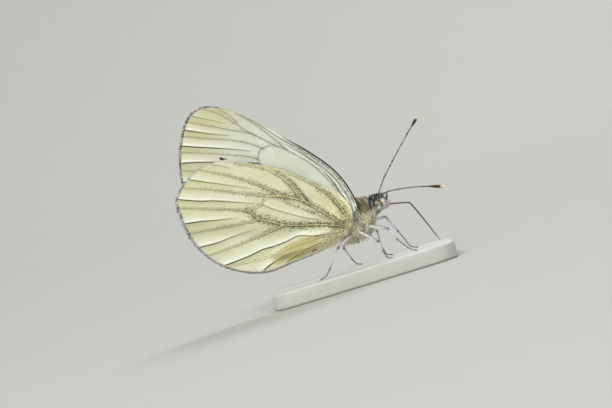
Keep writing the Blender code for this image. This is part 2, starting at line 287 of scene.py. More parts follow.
class Tree(Builder):
    # a short hand for building shader trees; without a first colour they start from the mesh's tint
    def __init__(self, name, colour=None):
        self.mat = bpy.data.materials.new(name)
        self.mat.use_nodes = True
        self.tree = self.mat.node_tree
        self.shader = self.tree.nodes["Principled BSDF"]
        self.colour = colour or self.attribute("tint", "Color")

    def attribute(self, name, output="Fac"):
        return self.add("ShaderNodeAttribute", {"attribute_name": name}).outputs[output]

    def ramp(self, value, low, high, out0=0.0, out1=1.0):
        node = self.add("ShaderNodeMapRange", {"interpolation_type": "SMOOTHSTEP"}, Value=value,
                        From_Min=low, From_Max=high, To_Min=out0, To_Max=out1)
        return node.outputs["Result"]

    def fall(self, value, low, high, strength=1.0):
        # full strength up to low, none from high on
        return self.ramp(value, low, high, strength, 0.0)

    def mix(self, factor, a, b):
        node = self.add("ShaderNodeMix", {"data_type": "RGBA"})
        self.feed(node.inputs[0], factor)
        for socket, value in ((node.inputs[6], a), (node.inputs[7], b)):
            self.feed(socket, (*value, 1.0) if isinstance(value, tuple) else value)
        return node.outputs[2]

    def paint(self, share, colour):
        self.colour = self.mix(share, self.colour, colour)

    def mark(self, lay, at, long, wide, lean):
        # 1 inside a leaning oval of the wing's own plane, 0 outside
        away = self.vector("SUBTRACT", lay, (*at, 0.0))
        squares = []
        for way, reach in (((math.cos(lean), math.sin(lean), 0.0), long),
                           ((-math.sin(lean), math.cos(lean), 0.0), wide)):
            share = self.math("DIVIDE", self.vector("DOT_PRODUCT", away, way, "Value"), reach)
            squares.append(self.times(share, share))
        return self.fall(self.plus(*squares), 0.55, 1.35)

    def noise(self, vector, scale, detail=2.0, roughness=0.5):
        return self.add("ShaderNodeTexNoise", Vector=vector, Scale=scale, Detail=detail,
                        Roughness=roughness).outputs["Fac"]

    def cells(self, vector, scale):
        node = self.add("ShaderNodeTexVoronoi", Vector=vector, Scale=scale)
        return node.outputs["Distance"], node.outputs["Color"]

    def stretch(self, vector, *scale):
        return self.add("ShaderNodeMapping", Vector=vector, Scale=(*scale, 1.0)).outputs["Vector"]

    def place(self):
        return self.add("ShaderNodeTexCoord").outputs["Object"]

    def bump(self, height, strength, distance):
        node = self.add("ShaderNodeBump", Strength=strength, Distance=distance, Height=height)
        self.feed(self.shader.inputs["Normal"], node.outputs["Normal"])

    def finish(self, roughness, **sockets):
        colour = (*self.colour, 1.0) if isinstance(self.colour, tuple) else self.colour
        for name, value in {"Base_Color": colour, "Roughness": roughness, **sockets}.items():
            self.feed(self.socket(self.shader, name), value)
        return self.mat


class Web(Builder):
    # a short hand for building geometry trees; inputs are {label: (kind, usual value)}
    def __init__(self, name, inputs):
        self.tree = bpy.data.node_groups.new(name, "GeometryNodeTree")
        face = self.tree.interface
        face.new_socket("Geometry", in_out="INPUT", socket_type="NodeSocketGeometry")
        self.keys, self.usual = {}, {}
        for label, (kind, value) in inputs.items():
            self.keys[label] = face.new_socket(label, in_out="INPUT",
                                               socket_type="NodeSocket" + kind).identifier
            self.usual[label] = value
        face.new_socket("Geometry", in_out="OUTPUT", socket_type="NodeSocketGeometry")
        self.entry = self.tree.nodes.new("NodeGroupInput").outputs

    def read(self, name, kind="FLOAT"):
        node = self.add("GeometryNodeInputNamedAttribute", {"data_type": kind}, Name=name)
        return next(s for s in node.outputs if s.enabled and s.name == "Attribute")

    def write(self, geometry, name, value, kind="FLOAT", domain="POINT"):
        return self.add("GeometryNodeStoreNamedAttribute", {"data_type": kind, "domain": domain},
                        Geometry=geometry, Name=name, Value=value).outputs["Geometry"]

    def chance(self, low, high, later, kind="FLOAT"):
        # later sets this draw's seed apart from the other draws' seeds
        node = self.add("FunctionNodeRandomValue", {"data_type": kind}, Min=low, Max=high,
                        Seed=self.plus(self.entry["Seed"], later))
        return next(s for s in node.outputs if s.enabled)

    def align(self, axis, vector, settings=None, **inputs):
        return self.add("FunctionNodeAlignRotationToVector", {"axis": axis, **(settings or {})},
                        Vector=vector, **inputs).outputs["Rotation"]

    def realize(self, geometry):
        return self.add("GeometryNodeRealizeInstances", Geometry=geometry).outputs["Geometry"]

    def close(self, geometry):
        paint = self.add("GeometryNodeSetMaterial", Geometry=self.realize(geometry),
                         Material=self.entry["Look"])
        self.add("NodeGroupOutput", Geometry=paint.outputs["Geometry"])
        return self

    def grow(self, mesh, name, keep=(), **values):
        # what the tree makes of a mesh, as a plain mesh
        carrier = addObject(name + "Guide", mesh)
        modifier = carrier.modifiers.new("web", "NODES")
        modifier.node_group = self.tree
        for label, value in {**self.usual, **values}.items():
            modifier[self.keys[label]] = value
        made = bpy.data.meshes.new_from_object(carrier.evaluated_get(bpy.context.evaluated_depsgraph_get()))
        bpy.data.objects.remove(carrier)
        made.name = name
        for attribute in [a.name for a in made.attributes if a.domain == "POINT" and not a.is_internal]:
            if attribute != "position" and attribute not in keep:
                made.attributes.remove(made.attributes[attribute])
        return addObject(name, made)


wingSheet = {
    "thickness": 0.55, "apart": 0.08, "membrane": 0.06, "outlineSteps": 24, "inset": 0.0015,
    # how the wings keep clear of the body, and where that fades out behind it and around it
    "offBody": 0.12, "bodyEnd": 1.2, "bodyLean": 0.25, "behind": 1.7, "inner": 0.35, "fade": 1.25,
    # how the hindwing rises over the forewing's edge: its least and greatest run-up and how that grows
    "overlap": 0.2, "runUp": (0.8, 2.2), "runUpGrowth": 0.15,
    # slight waves of the sheet: height, and turns along and across the wing
    "waves": ((0.012, 1.7, 0.9), (0.010, -0.6, 2.3)),
    # each fold's slopes, millimetres
    "foldAbove": 0.38, "foldBelow": 0.10,
}
# dark scales beside a vein: a clear line on it, how they rise, and how wide they spread
dusting = {"clear": 0.02, "rise": 0.08, "line": 0.14, "narrow": 0.08, "widen": 0.32, "thinning": 1.6}
# along the body, height of its middle, reach up, reach down and half width
trunkTable = np.array([
    (-4.05, 4.30, 0.12, 0.12, 0.10),
    (-3.75, 4.31, 0.48, 0.46, 0.42),
    (-2.60, 4.37, 0.78, 0.76, 0.70),
    (-0.40, 4.55, 1.05, 1.02, 0.95),
    (2.00, 4.80, 1.18, 1.15, 1.05),
    (3.40, 4.98, 1.30, 1.40, 1.12),
    (4.40, 5.15, 1.85, 2.15, 1.30),
    (5.40, 5.45, 2.20, 2.55, 1.45),
    (6.40, 5.78, 2.25, 2.45, 1.48),
    (7.30, 6.08, 2.15, 1.72, 1.40),
    (7.95, 6.32, 1.85, 1.28, 1.12),
    (8.45, 6.50, 1.48, 1.12, 0.98),
    (9.10, 6.62, 1.20, 1.08, 0.92),
    (9.65, 6.68, 0.88, 0.84, 0.72),
    (9.98, 6.70, 0.30, 0.30, 0.28),
])


def trunkSection(x):
    return [np.interp(x, trunkTable[:, 0], trunkTable[:, k]) for k in (1, 2, 3, 4)]


def bodyClearance(x, z):
    # how far the wings keep off the middle plane to clear the body
    last = trunkTable[0, 0] + wingSheet["bodyEnd"]
    cx = np.maximum(x + wingSheet["bodyLean"] * (z - trunkSection(x)[0]), last)
    cz, up, down, side = trunkSection(cx)
    past = np.minimum(x - last, 0.0) / wingSheet["behind"]
    reach = np.hypot((z - cz) / np.where(z > cz, up, down), past)
    return (side + wingSheet["offBody"]) * (1 - smoothStep((reach - wingSheet["inner"]) / wingSheet["fade"]))


# outlines, veins and folds are in each wing's own measures: millimetres from the root towards
# the tip, and millimetres towards the hind edge
forewing = {
    "root": (6.30, 6.20),
    "angle": 132.1,
    "outline": [
        (0.9, 0.65), (0.45, -0.65), (1.3, -1.39), (3.2, -2.42), (5.6, -3.12), (9.6, -3.36),
        (13.3, -3.24), (16.9, -3.06), (19.4, -2.72), (21.3, -2.02), (22.45, -1.22),
        (23.05, -0.25), (23.2, 0.9), (22.7, 2.9), (21.67, 5.17), (19.95, 7.6), (18.1, 9.5),
        (16.6, 10.25), (14.6, 9.6), (10.25, 7.3), (4.97, 4.0),
    ],
    "cells": (268, 165),
    "veins": {
        # name: (dust at the start, dust at the end, thickness, points)
        "subcosta": (0.5, 0.15, 1.0, [(1.6, -0.95), (4.9, -2.25), (8.6, -2.98), (12.4, -3.25)]),
        "radius": (0.3, 0.2, 1.1, [
            (1.2, -0.35), (3.2, -1.05), (5.04, -1.6), (7.73, -2.2), (10.9, -2.14), (12.86, -1.81),
            (13.55, -1.25), (13.75, -0.8)]),
        "radiusFork": (0.15, 0.25, 0.9, [(10.9, -2.14), (12.64, -2.36), (15.84, -2.8), (18.6, -2.83)]),
        "radiusStalk": (0.2, 0.18, 0.9, [
            (12.4, -1.92), (14.27, -1.77), (16.23, -1.63), (18.58, -1.68), (20.64, -1.62), (22.3, -1.2)]),
        "radiusTip": (0.1, 0.1, 0.6, [(18.0, -1.9), (19.4, -2.16), (21.0, -2.1)]),
        "media1": (0.25, 0.18, 0.8,
                   [(15.36, -1.66), (16.2, -1.5), (18.51, -0.62), (20.03, -0.07), (23.0, 1.05)]),
        "cross": (0.1, 0.15, 0.2, [(13.72, -0.85), (13.95, -0.4), (13.9, 0.1), (13.65, 0.6)]),
        "media2": (0.2, 0.16, 0.8,
                   [(13.78, -0.85), (15.46, -0.48), (17.44, 0.23), (19.29, 1.16), (22.6, 2.8)]),
        "media3": (0.2, 0.16, 0.8, [(13.65, 0.6), (14.97, 1.0), (16.53, 1.76), (18.38, 2.68), (21.95, 4.6)]),
        "cubitus": (0.3, 0.2, 1.0, [(1.1, 0.2), (6.0, 1.4), (9.5, 2.05), (12.2, 1.9), (13.65, 0.6)]),
        "cubitus1": (0.15, 0.12, 0.8, [(12.2, 1.9), (15.0, 3.35), (18.0, 4.95), (20.8, 6.5)]),
        "cubitus2": (0.2, 0.2, 0.8, [(9.5, 2.05), (13.0, 4.3), (16.5, 6.5), (18.9, 8.3)]),
        "anal": (0.3, 0.1, 0.9, [(1.2, 0.5), (6.0, 3.1), (12.0, 6.5), (17.0, 9.4)]),
    },
    "folds": {
        # name: (depth at the start, depth at the end, points)
        "costal": (0.8, 0.25, [
            (2.4, -0.75), (4.9, -1.93), (7.97, -2.65), (10.56, -2.94), (13.78, -3.0), (15.8, -3.08),
            (17.84, -2.92)]),
        "tip": (0.1, 0.35, [(19.33, -1.05), (21.2, -0.45), (22.95, 0.15)]),
        "first": (0.15, 0.8, [(18.2, -0.05), (19.6, 0.64), (21.32, 1.39), (22.9, 2.05)]),
        "second": (0.25, 1.0, [(15.04, 0.23), (16.91, 1.11), (18.76, 2.05), (20.4, 2.92), (22.25, 3.87)]),
        "third": (0.2, 0.9, [(16.4, 2.7), (18.2, 3.7), (19.6, 4.55), (21.3, 5.68)]),
        "fourth": (0.2, 0.8, [(14.0, 3.9), (17.0, 5.8), (19.9, 7.5)]),
        "fifth": (0.2, 0.6, [(11.0, 4.3), (14.5, 6.6), (18.0, 9.0)]),
    },
    "bands": {
        "costa": (0.5, 0.2, 0.12, [(1.2, -1.25), (3.2, -2.3), (5.6, -2.98), (9.6, -3.25)]),
    },
    "marks": [
        ((17.40, 2.80), 0.32, 0.17, 0.35, 0.97, (52, 20, 40)),
        ((17.00, 2.58), 0.24, 0.08, 0.35, 0.85, (60, 34, 44)),
        ((13.70, 1.20), 0.85, 0.075, 0.44, 0.9, (40, 30, 22)),
    ],
}
hindwing = {
    "root": (5.30, 5.40),
    "angle": 157.97,
    "outline": [
        (0.05, 0.1), (0.08, -0.95), (0.4, -1.85), (1.15, -2.72), (2.37, -3.59), (5.22, -4.45),
        (8.3, -5.5), (11.4, -5.94), (14.6, -5.92), (16.9, -5.72), (18.7, -4.74), (20.5, -2.45),
        (21.02, -0.62), (20.6, 0.5), (19.4, 2.9), (17.78, 4.77), (15.3, 6.3), (12.1, 6.95),
        (9.5, 6.65), (6.63, 5.27), (3.4, 3.7), (1.3, 2.3), (0.45, 1.2),
    ],
    "cells": (245, 160),
    "veins": {
        "subcosta": (1.0, 0.15, 1.0, [
            (1.0, -0.95), (1.68, -1.75), (2.97, -2.95), (5.16, -4.2), (7.3, -4.98), (9.42, -5.5),
            (13.06, -5.86)]),
        "radius": (0.9, 0.25, 1.0, [
            (5.6, -1.9), (5.94, -2.21), (6.67, -2.6), (7.28, -3.26), (8.49, -4.36), (9.87, -5.15),
            (11.51, -5.6), (14.5, -5.75)]),
        "trunk": (1.0, 0.8, 1.3, [(1.0, 0.3), (2.01, -0.1), (4.2, -1.18), (6.0, -2.02), (8.05, -2.37)]),
        "media1": (0.8, 0.15, 1.1, [
            (8.05, -2.37), (8.81, -2.5), (10.22, -3.0), (12.01, -3.6), (15.06, -4.2), (18.9, -4.66)]),
        "media2": (0.7, 0.15, 1.0, [
            (8.05, -2.37), (9.13, -2.33), (10.51, -2.29), (12.88, -2.25), (17.12, -2.41), (20.55, -2.33)]),
        "cross": (0.3, 0.3, 1.0, [(10.22, -2.27), (10.81, -1.71), (11.0, -1.2), (12.57, -0.27)]),
        "media3": (0.45, 0.2, 1.0, [(12.57, -0.27), (15.22, -0.2), (18.99, 0.03), (20.82, 0.13)]),
        "cubitus": (1.0, 0.9, 1.3, [
            (1.0, 0.55), (3.35, 0.57), (6.09, 0.9), (8.02, 1.0), (9.83, 0.75), (10.99, 0.58),
            (12.57, -0.27)]),
        "cubitus1": (0.55, 0.15, 1.0, [(10.99, 0.58), (13.68, 1.48), (16.12, 2.2), (19.3, 3.12)]),
        "cubitus2": (0.7, 0.15, 1.0,
                     [(8.02, 1.0), (10.45, 2.39), (12.81, 3.64), (15.85, 5.15), (16.95, 5.58)]),
        "anal1": (0.6, 0.15, 0.9, [
            (1.1, 0.95), (3.0, 1.75), (5.19, 2.69), (7.27, 3.71), (9.57, 5.0), (12.6, 6.1), (14.1, 6.45)]),
        "anal2": (0.4, 0.1, 0.8, [(1.0, 1.3), (2.8, 2.45), (5.4, 3.95), (7.6, 5.1), (9.2, 6.15)]),
    },
    "folds": {
        "costal": (0.1, 0.35, [(15.29, -5.21), (16.2, -5.42), (17.3, -5.45)]),
        "first": (0.15, 0.6, [(12.5, -3.0), (15.38, -3.19), (17.68, -3.3), (19.75, -3.42)]),
        "second": (0.25, 1.0,
                   [(12.0, -1.25), (15.21, -1.21), (16.74, -1.17), (18.44, -0.98), (20.9, -0.95)]),
        "cell": (0.3, 0.35, [(4.09, -0.05), (5.48, -0.1), (8.29, -0.54), (9.7, -0.83), (10.96, -1.27)]),
        "third": (0.3, 0.95, [(14.43, 0.77), (16.82, 1.22), (18.18, 1.45), (20.3, 1.98)]),
        "fourth": (0.2, 0.9, [(12.2, 2.1), (14.57, 3.17), (15.7, 3.75), (16.9, 4.2), (18.15, 4.62)]),
        "fifth": (0.5, 1.0, [
            (2.37, 1.48), (4.4, 1.93), (6.38, 2.17), (7.57, 2.9), (9.1, 3.66), (10.3, 4.1), (12.12, 5.17),
            (14.85, 6.5)]),
        "analA": (0.4, 0.9, [(6.0, 3.75), (7.7, 4.63), (8.34, 5.11), (9.43, 5.97), (10.0, 6.55)]),
        "analB": (0.4, 0.8, [(3.6, 2.7), (5.48, 3.82), (6.32, 4.51), (7.3, 5.35)]),
    },
    "bands": {
        # name: (dust at the start, dust at the end, half width, points)
        "radius": (1.6, 0.7, 0.2,
                   [(5.5, -2.1), (6.43, -3.05), (7.04, -3.68), (7.74, -4.3), (8.6, -4.78), (9.6, -5.2)]),
        "cell": (0.8, 0.65, 0.22, [(2.1, 0.0), (3.7, -0.42), (5.34, -0.9), (7.32, -1.4), (8.91, -2.15)]),
        "cellEnd": (0.3, 0.7, 0.2, [(6.0, 0.45), (8.0, 0.55), (9.6, 0.2), (10.8, -0.05)]),
        "humeral": (0.85, 0.5, 0.65, [(0.4, -0.7), (1.3, -1.7), (2.3, -2.5), (3.4, -3.1)]),
        "base": (0.8, 0.45, 0.7, [(0.4, 0.6), (1.0, -0.2), (1.7, -1.1)]),
        "inner": (0.45, 0.15, 0.7, [(1.2, 1.6), (3.4, 3.0), (6.2, 4.6)]),
    },
    # place, half length, half width, lean, strength and colour of single marks
    "marks": [
        ((4.26, 3.74), 0.36, 0.16, 0.5, 0.85, (150, 102, 36)),
        ((16.7, 4.75), 0.20, 0.14, 0.3, 0.75, (220, 200, 110)),
        ((9.15, -4.62), 0.10, 0.55, 0.2, 0.35, (206, 182, 120)),
        ((6.4, 3.9), 3.2, 1.05, 0.56, 0.72, (180, 170, 100)),
    ],
}
hindEdge = np.array([(-12.0, 11.3), (-6.0, 8.9), (0.0, 7.2), (4.9, 6.4)])


def wingToModel(wing, sign, along, back):
    turn = math.radians(wing["angle"] + (wing["leftSwing"] if sign > 0 else 0.0))
    ax, az = math.cos(turn), math.sin(turn)
    return wing["root"][0] + along * ax - back * az, wing["root"][1] + along * az + back * ax


def wingWay(wing, sign, flat, aside=0.0):
    # directions in the wing's own measures, in the frame's axes
    x, z = wingToModel(wing, sign, flat[:, 0], flat[:, 1])
    return np.column_stack([x - wing["root"][0], np.full(len(flat), aside), z - wing["root"][1]])


def forewingInner(x, z):
    return wingSheet["apart"] / 2 + bodyClearance(x, z)


def hindwingInner(x, z):
    # the hindwing steps outwards where it lies over the forewing
    fromRoot = np.hypot(x - hindwing["root"][0], z - hindwing["root"][1])
    least, most = wingSheet["runUp"]
    ramp = np.minimum(least + wingSheet["runUpGrowth"] * fromRoot, most)
    above = z - np.interp(x, hindEdge[:, 0], hindEdge[:, 1])
    over = smoothStep((above + wingSheet["overlap"] + ramp) / ramp)
    step = wingSheet["thickness"] + wingSheet["apart"]
    return wingSheet["apart"] / 2 + step * over + bodyClearance(x, z)


def nearestOn(points, path):
    # distance from each point to the path, and how far along it the nearest place is, 0 to 1
    best = np.full(len(points), 1e9)
    share = np.zeros(len(points))
    lengths, run = measure(path)
    for i, (a, b) in enumerate(zip(path, path[1:])):
        d = b - a
        t = np.clip(((points - a) @ d) / (d @ d), 0.0, 1.0)
        dist = np.linalg.norm(points - a - t[:, None] * d, axis=1)
        closer = dist < best
        best[closer] = dist[closer]
        share[closer] = (run[i] + t[closer] * lengths[i]) / run[-1]
    return best, share


def signedDistance(points, path):
    # the same, with the distance positive towards the front edge for a path drawn outwards
    dist, share = nearestOn(points, path)
    lengths, run = measure(path)
    k = np.clip(np.searchsorted(run / lengths.sum(), share, side="right") - 1, 0, len(path) - 2)
    ahead = path[k + 1] - path[k]
    side = ahead[:, 0] * (points[:, 1] - path[k, 1]) - ahead[:, 1] * (points[:, 0] - path[k, 0])
    return np.where(side < 0, dist, -dist), share


def wingOutline(wing):
    return smoothCurve(wing["outline"], wingSheet["outlineSteps"], closed=True)


def edgePath(wing, part):
    # a stretch of the outline, from one of its points to another
    start, end = wing[part]
    steps = wingSheet["outlineSteps"]
    return wingOutline(wing)[start * steps:end * steps + 1]


def wingStations(wing):
    # grid lines of a wing: for each place along it, how far its front and hind edges reach
    outline = wingOutline(wing)
    first, last = int(np.argmin(outline[:, 0])), int(np.argmax(outline[:, 0]))
    rolled = np.roll(outline, -first, axis=0)
    turn = (last - first) % len(outline)
    front, hind = rolled[: turn + 1], np.vstack([rolled[0], rolled[turn:][::-1]])
    along, across = wing["cells"]
    # closer together at root and tip, and just inside the outline's ends
    t = np.linspace(0.0, 1.0, along + 1)
    t = 0.55 * t + 0.45 * (1 - np.cos(math.pi * t)) / 2
    inset = wingSheet["inset"]
    u = outline[first, 0] + inset + (outline[last, 0] - outline[first, 0] - 2 * inset) * t
    low, high = (np.interp(u, np.maximum.accumulate(side[:, 0]), side[:, 1]) for side in (front, hind))
    w = np.linspace(0.0, 1.0, across + 1)
    grid = np.empty((along + 1, across + 1, 2))
    grid[:, :, 0] = u[:, None]
    grid[:, :, 1] = low[:, None] + (high - low)[:, None] * w[None, :]
    return grid


def wingFields(wing, points):
    # what the markings and the relief need to know at each point
    none, faraway = np.zeros(len(points)), np.full(len(points), 9.0)
    vein, veinDust, dust = faraway, none, none
    for dustStart, dustEnd, _, knots in wing["veins"].values():
        signed, share = signedDistance(points, smoothCurve(knots, 6))
        dist = np.abs(signed)
        strength = dustEnd + (dustStart - dustEnd) * (1 - share) ** dusting["thinning"]
        spread = dusting["narrow"] + dusting["widen"] * strength
        beside = smoothStep((dist - dusting["clear"]) / dusting["rise"])
        beside = beside * np.exp(-np.maximum(dist - dusting["line"], 0.0) ** 2 / spread ** 2)
        dust = 1 - (1 - dust) * (1 - np.clip(strength * beside, 0, 1))
        nearer = dist < np.abs(vein)
        vein, veinDust = np.where(nearer, signed, vein), np.where(nearer, strength, veinDust)
    for dustStart, dustEnd, wide, knots in wing["bands"].values():
        dist, share = nearestOn(points, smoothCurve(knots, 6))
        dust = np.maximum(dust, (dustStart + (dustEnd - dustStart) * share) * np.exp(-(dist / wide) ** 2))
    fold, foldDepth, relief = faraway, none, none
    for depthStart, depthEnd, knots in wing["folds"].values():
        signed, share = signedDistance(points, smoothCurve(knots, 6))
        depth = depthStart + (depthEnd - depthStart) * share
        rise = np.where(signed > 0, np.exp(-signed / wingSheet["foldAbove"]),
                        np.maximum(0.0, 1 + signed / wingSheet["foldBelow"]))
        relief = np.maximum(relief, depth * rise)
        nearer = np.abs(signed) < np.abs(fold)
        fold, foldDepth = np.where(nearer, signed, fold), np.where(nearer, depth, foldDepth)
    edge, front = (nearestOn(points, edgePath(wing, part))[0] for part in ("margin", "front"))
    fields = {"vein": vein, "veinDust": veinDust, "dust": dust, "fold": fold, "foldDepth": foldDepth,
              "edge": edge, "front": front}
    return fields, relief


def wingSurface(wing, sign, flat):
    # where the middle of the membrane lies, for places in the wing's own measures
    fields, relief = wingFields(wing, flat)
    inner = hindwingInner if wing is hindwing else forewingInner
    along, back = flat.T
    x, z = wingToModel(wing, sign, along, back)
    wave = sum(high * np.sin(along * a + back * b) for high, a, b in wingSheet["waves"])
    reach = inner(x, z) + wing["middle"] + wing["pleat"] * relief + wave
    return np.column_stack([x, sign * reach, z]), fields


def makeMembrane(name, wing, sign, material, node):
    grid = wingStations(wing)
    rows, columns = grid.shape[:2]
    flat = grid.reshape(-1, 2)
    middle, fields = wingSurface(wing, sign, flat)
    half = np.array([0.0, sign * wingSheet["membrane"] / 2, 0.0])
    count = rows * columns
    index = np.arange(count).reshape(rows, columns)
    quads = np.stack([index[:-1, :-1], index[1:, :-1], index[1:, 1:], index[:-1, 1:]], axis=-1)
    quads = quads.reshape(-1, 4)
    rim = np.concatenate([index[0, :-1], index[:-1, -1], index[-1, :0:-1], index[:0:-1, 0]])
    skirt = np.stack([rim, np.roll(rim, -1), np.roll(rim, -1) + count, rim + count], axis=-1)
    faces = np.vstack([quads, quads[:, ::-1] + count, skirt[:, ::-1]])
    if sign > 0:
        faces = faces[:, ::-1]
    obj = newMesh(name, place(np.vstack([middle + half, middle - half])), faces, material)
    mesh = obj.data
    setFloats(mesh, outside=np.repeat([1.0, 0.0], count),
              **{key: np.tile(values, 2) for key, values in fields.items()})
    # the scales' own plane: along the wing, across it, and which side
    setVectors(mesh, lay=np.column_stack([np.tile(flat, (2, 1)), np.repeat([0.0, 40.0], count)]))
    # both sides lie one above the other on the map
    spread = np.tile(flat, (2, 1)) * 0.041 + np.array([0.01, 0.28])
    spread[count:, 1] += 0.46
    setMap(mesh, spread[cornerPoints(mesh)])
    dress(obj, wing["slot"], node)
    return obj


def wingMaterial(name, wing):
    look = wing["look"]
    tree = Tree(name, look["ground"])
    ramp, fall, times, paint = tree.ramp, tree.fall, tree.times, tree.paint
    lay = tree.attribute("lay", "Vector")
    along = tree.add("ShaderNodeSeparateXYZ", Vector=lay).outputs["X"]
    vein, veinDust, dust, fold, foldDepth, edge, front = (
        tree.attribute(key) for key in ("vein", "veinDust", "dust", "fold", "foldDepth", "edge", "front"))

    def grain(alongWing, acrossWing, detail=2.0, roughness=0.5):
        return tree.noise(tree.stretch(lay, alongWing, acrossWing), 1.0, detail, roughness)

    paint(ramp(tree.noise(lay, 0.35), 0.38, 0.62), look["groundDeep"])
    paint(ramp(along, *look["tipSpan"]), look["tip"])
    paint(fall(along, *look["rootSpan"]), look["root"])
    paint(ramp(grain(0.9, 1.6, 3.0), 0.52, 0.75, 0.0, look["blush"]), look["blushTone"])
    # rows of pale scales across the wing
    ripple = tree.plus(times(along, 52.0), times(tree.noise(lay, 1.3), 34.0))
    rows = times(tree.plus(tree.math("SINE", ripple), 1.0), 0.5, ramp(grain(7.0, 11.0, 3.0, 0.7), 0.25, 0.7))
    paint(times(rows, look["rowShade"]), look["scaleShade"])
    # painted highlight: the pale ridge above each fold; painted shade below it
    deep = ramp(foldDepth, 0.05, 0.9)
    # painted highlight along the upper side of each fold, a narrow band and a wide haze
    paint(times(ramp(fold, 0.02, 0.09), fall(fold, 0.12, 0.42), deep, 0.9), look["ridgeHighlight"])
    paint(times(ramp(fold, 0.02, 0.12), fall(fold, 0.3, 1.2, 0.42), deep), look["ridgeHighlight"])
    # painted shade below each fold, in the same colour as the haze of real dust beside the veins
    paint(times(ramp(fold, -0.75, -0.12), fall(fold, -0.05, 0.0), deep, 0.28), look["dustHazeAndFoldShade"])
    # dust of dark scales: a broken line close to each vein, thinning away from it. The line beside each vein
    # is also painted shadow of the raised vein, full below it and weaker above
    clump = ramp(grain(3.2, 3.2), 0.36, 0.60, 0.45, 1.5)
    wanted = tree.plus(times(dust, look["dustShare"], clump), look["strayDust"])
    spot, tint = tree.cells(tree.stretch(lay, 9.0, 15.0), 1.0)
    pick = tree.add("ShaderNodeSeparateColor", Color=tint).outputs["Red"]
    dark = times(ramp(tree.math("SUBTRACT", wanted, pick), -0.03, 0.05), fall(spot, 0.46, 0.70))
    paint(times(dust, look["haze"]), look["dustHazeAndFoldShade"])
    paint(times(dark, 0.85), look["dust"])
    far = tree.math("ABSOLUTE", vein)
    broken = ramp(grain(4.5, 4.5), 0.34, 0.58, 0.5, 1.0)
    # dust and painted shadow: the broken line beside each vein, strongest on its lower side
    veinLineDustAndShadow = times(ramp(far, 0.06, 0.09), fall(far, 0.15, 0.21), broken,
                   ramp(vein, -0.1, 0.1, 1.0, look["upperBorder"]),
                   ramp(veinDust, 0.0, 0.9, look["borderLow"], look["borderHigh"]))
    paint(veinLineDustAndShadow, look["dust"])
    # the veins themselves, finer and browner towards the tip
    cream = tree.mix(ramp(tree.noise(lay, 2.2), 0.42, 0.62), look["vein"], look["veinBrown"])
    cream = tree.mix(ramp(along, 9.0, 16.0, 0.0, 0.9), cream, look["veinTip"])
    slim = tree.plus(far, ramp(along, 8.0, 20.0, 0.0, 0.035))
    paint(fall(slim, 0.055, 0.095, look["veinStrength"]), cream)
    # painted shadow: the dark line in each fold; then the hem, and single marks
    line = times(ramp(fold, -0.16, -0.10), fall(fold, -0.03, 0.015), ramp(foldDepth, 0.0, 0.9, 0.25, 1.0))
    paint(line, look["creaseShadow"])
    paint(fall(edge, 0.0, 0.22, 0.55), look["hem"])
    for at, long, wide, lean, strength, shade in wing["marks"]:
        paint(times(tree.mark(lay, at, long, wide, lean), strength), srgb(*shade))
    # bands behind the front edge, which fade outwards; the grey one among them is painted shade
    fading = fall(along, *look["frontSpan"])
    grit = ramp(grain(5.0, 7.0), 0.36, 0.60)
    for inner, outer, strength, isBroken, shade in look["frontBands"]:
        band = times(ramp(front, inner - 0.04, inner + 0.03), fall(front, outer - 0.03, outer + 0.04),
                     fading, strength)
        paint(times(band, grit) if isBroken else band, srgb(*shade))
    tree.bump(tree.plus(times(rows, 0.5), times(dark, 0.9)), 0.5, 0.00002)
    return tree.finish(0.6, Sheen_Weight=0.1, Specular_IOR_Level=0.25)


underForewing = {
    "ground": srgb(224, 229, 216), "groundDeep": srgb(216, 221, 206), "tip": srgb(206, 203, 154),
    "tipSpan": (15.3, 21.8), "root": srgb(246, 248, 230), "rootSpan": (1.0, 7.0), "blush": 0.4,
    "blushTone": srgb(224, 221, 206), "scaleShade": srgb(178, 182, 160), "rowShade": 0.4,
    # the ridge colour is a painted highlight above each fold, dustHazeAndFoldShade also paints the shade
    # below it, and crease is the painted shadow in the fold
    "ridgeHighlight": srgb(246, 248, 242), "vein": srgb(196, 190, 174), "veinBrown": srgb(136, 120, 112),
    "veinTip": srgb(136, 120, 100), "veinStrength": 0.8, "dust": srgb(92, 86, 78),
    "hair": srgb(236, 232, 204), "dustHazeAndFoldShade": srgb(168, 170, 146), "haze": 0.16,
    "dustShare": 0.42, "strayDust": 0.01, "creaseShadow": srgb(62, 62, 26), "hem": srgb(206, 202, 194),
    "upperBorder": 0.4, "borderLow": 0.12, "borderHigh": 0.8,
    "frontSpan": (9.5, 13.0),
    # from the front edge inwards: inner and outer reach, strength, whether broken, colour
    "frontBands": [
        (-0.1, 0.20, 0.97, False, (22, 14, 20)), (0.19, 0.31, 0.7, True, (206, 190, 206)),
        (0.27, 0.45, 0.95, True, (22, 14, 20)), (0.45, 0.54, 0.8, False, (226, 220, 196)),
        # the grey band from 0.56 to 0.84 is painted shade, the others are the wing's own colours
        (0.56, 0.84, 0.6, False, (150, 148, 150)), (0.87, 1.0, 0.85, False, (244, 244, 240)),
    ],
}
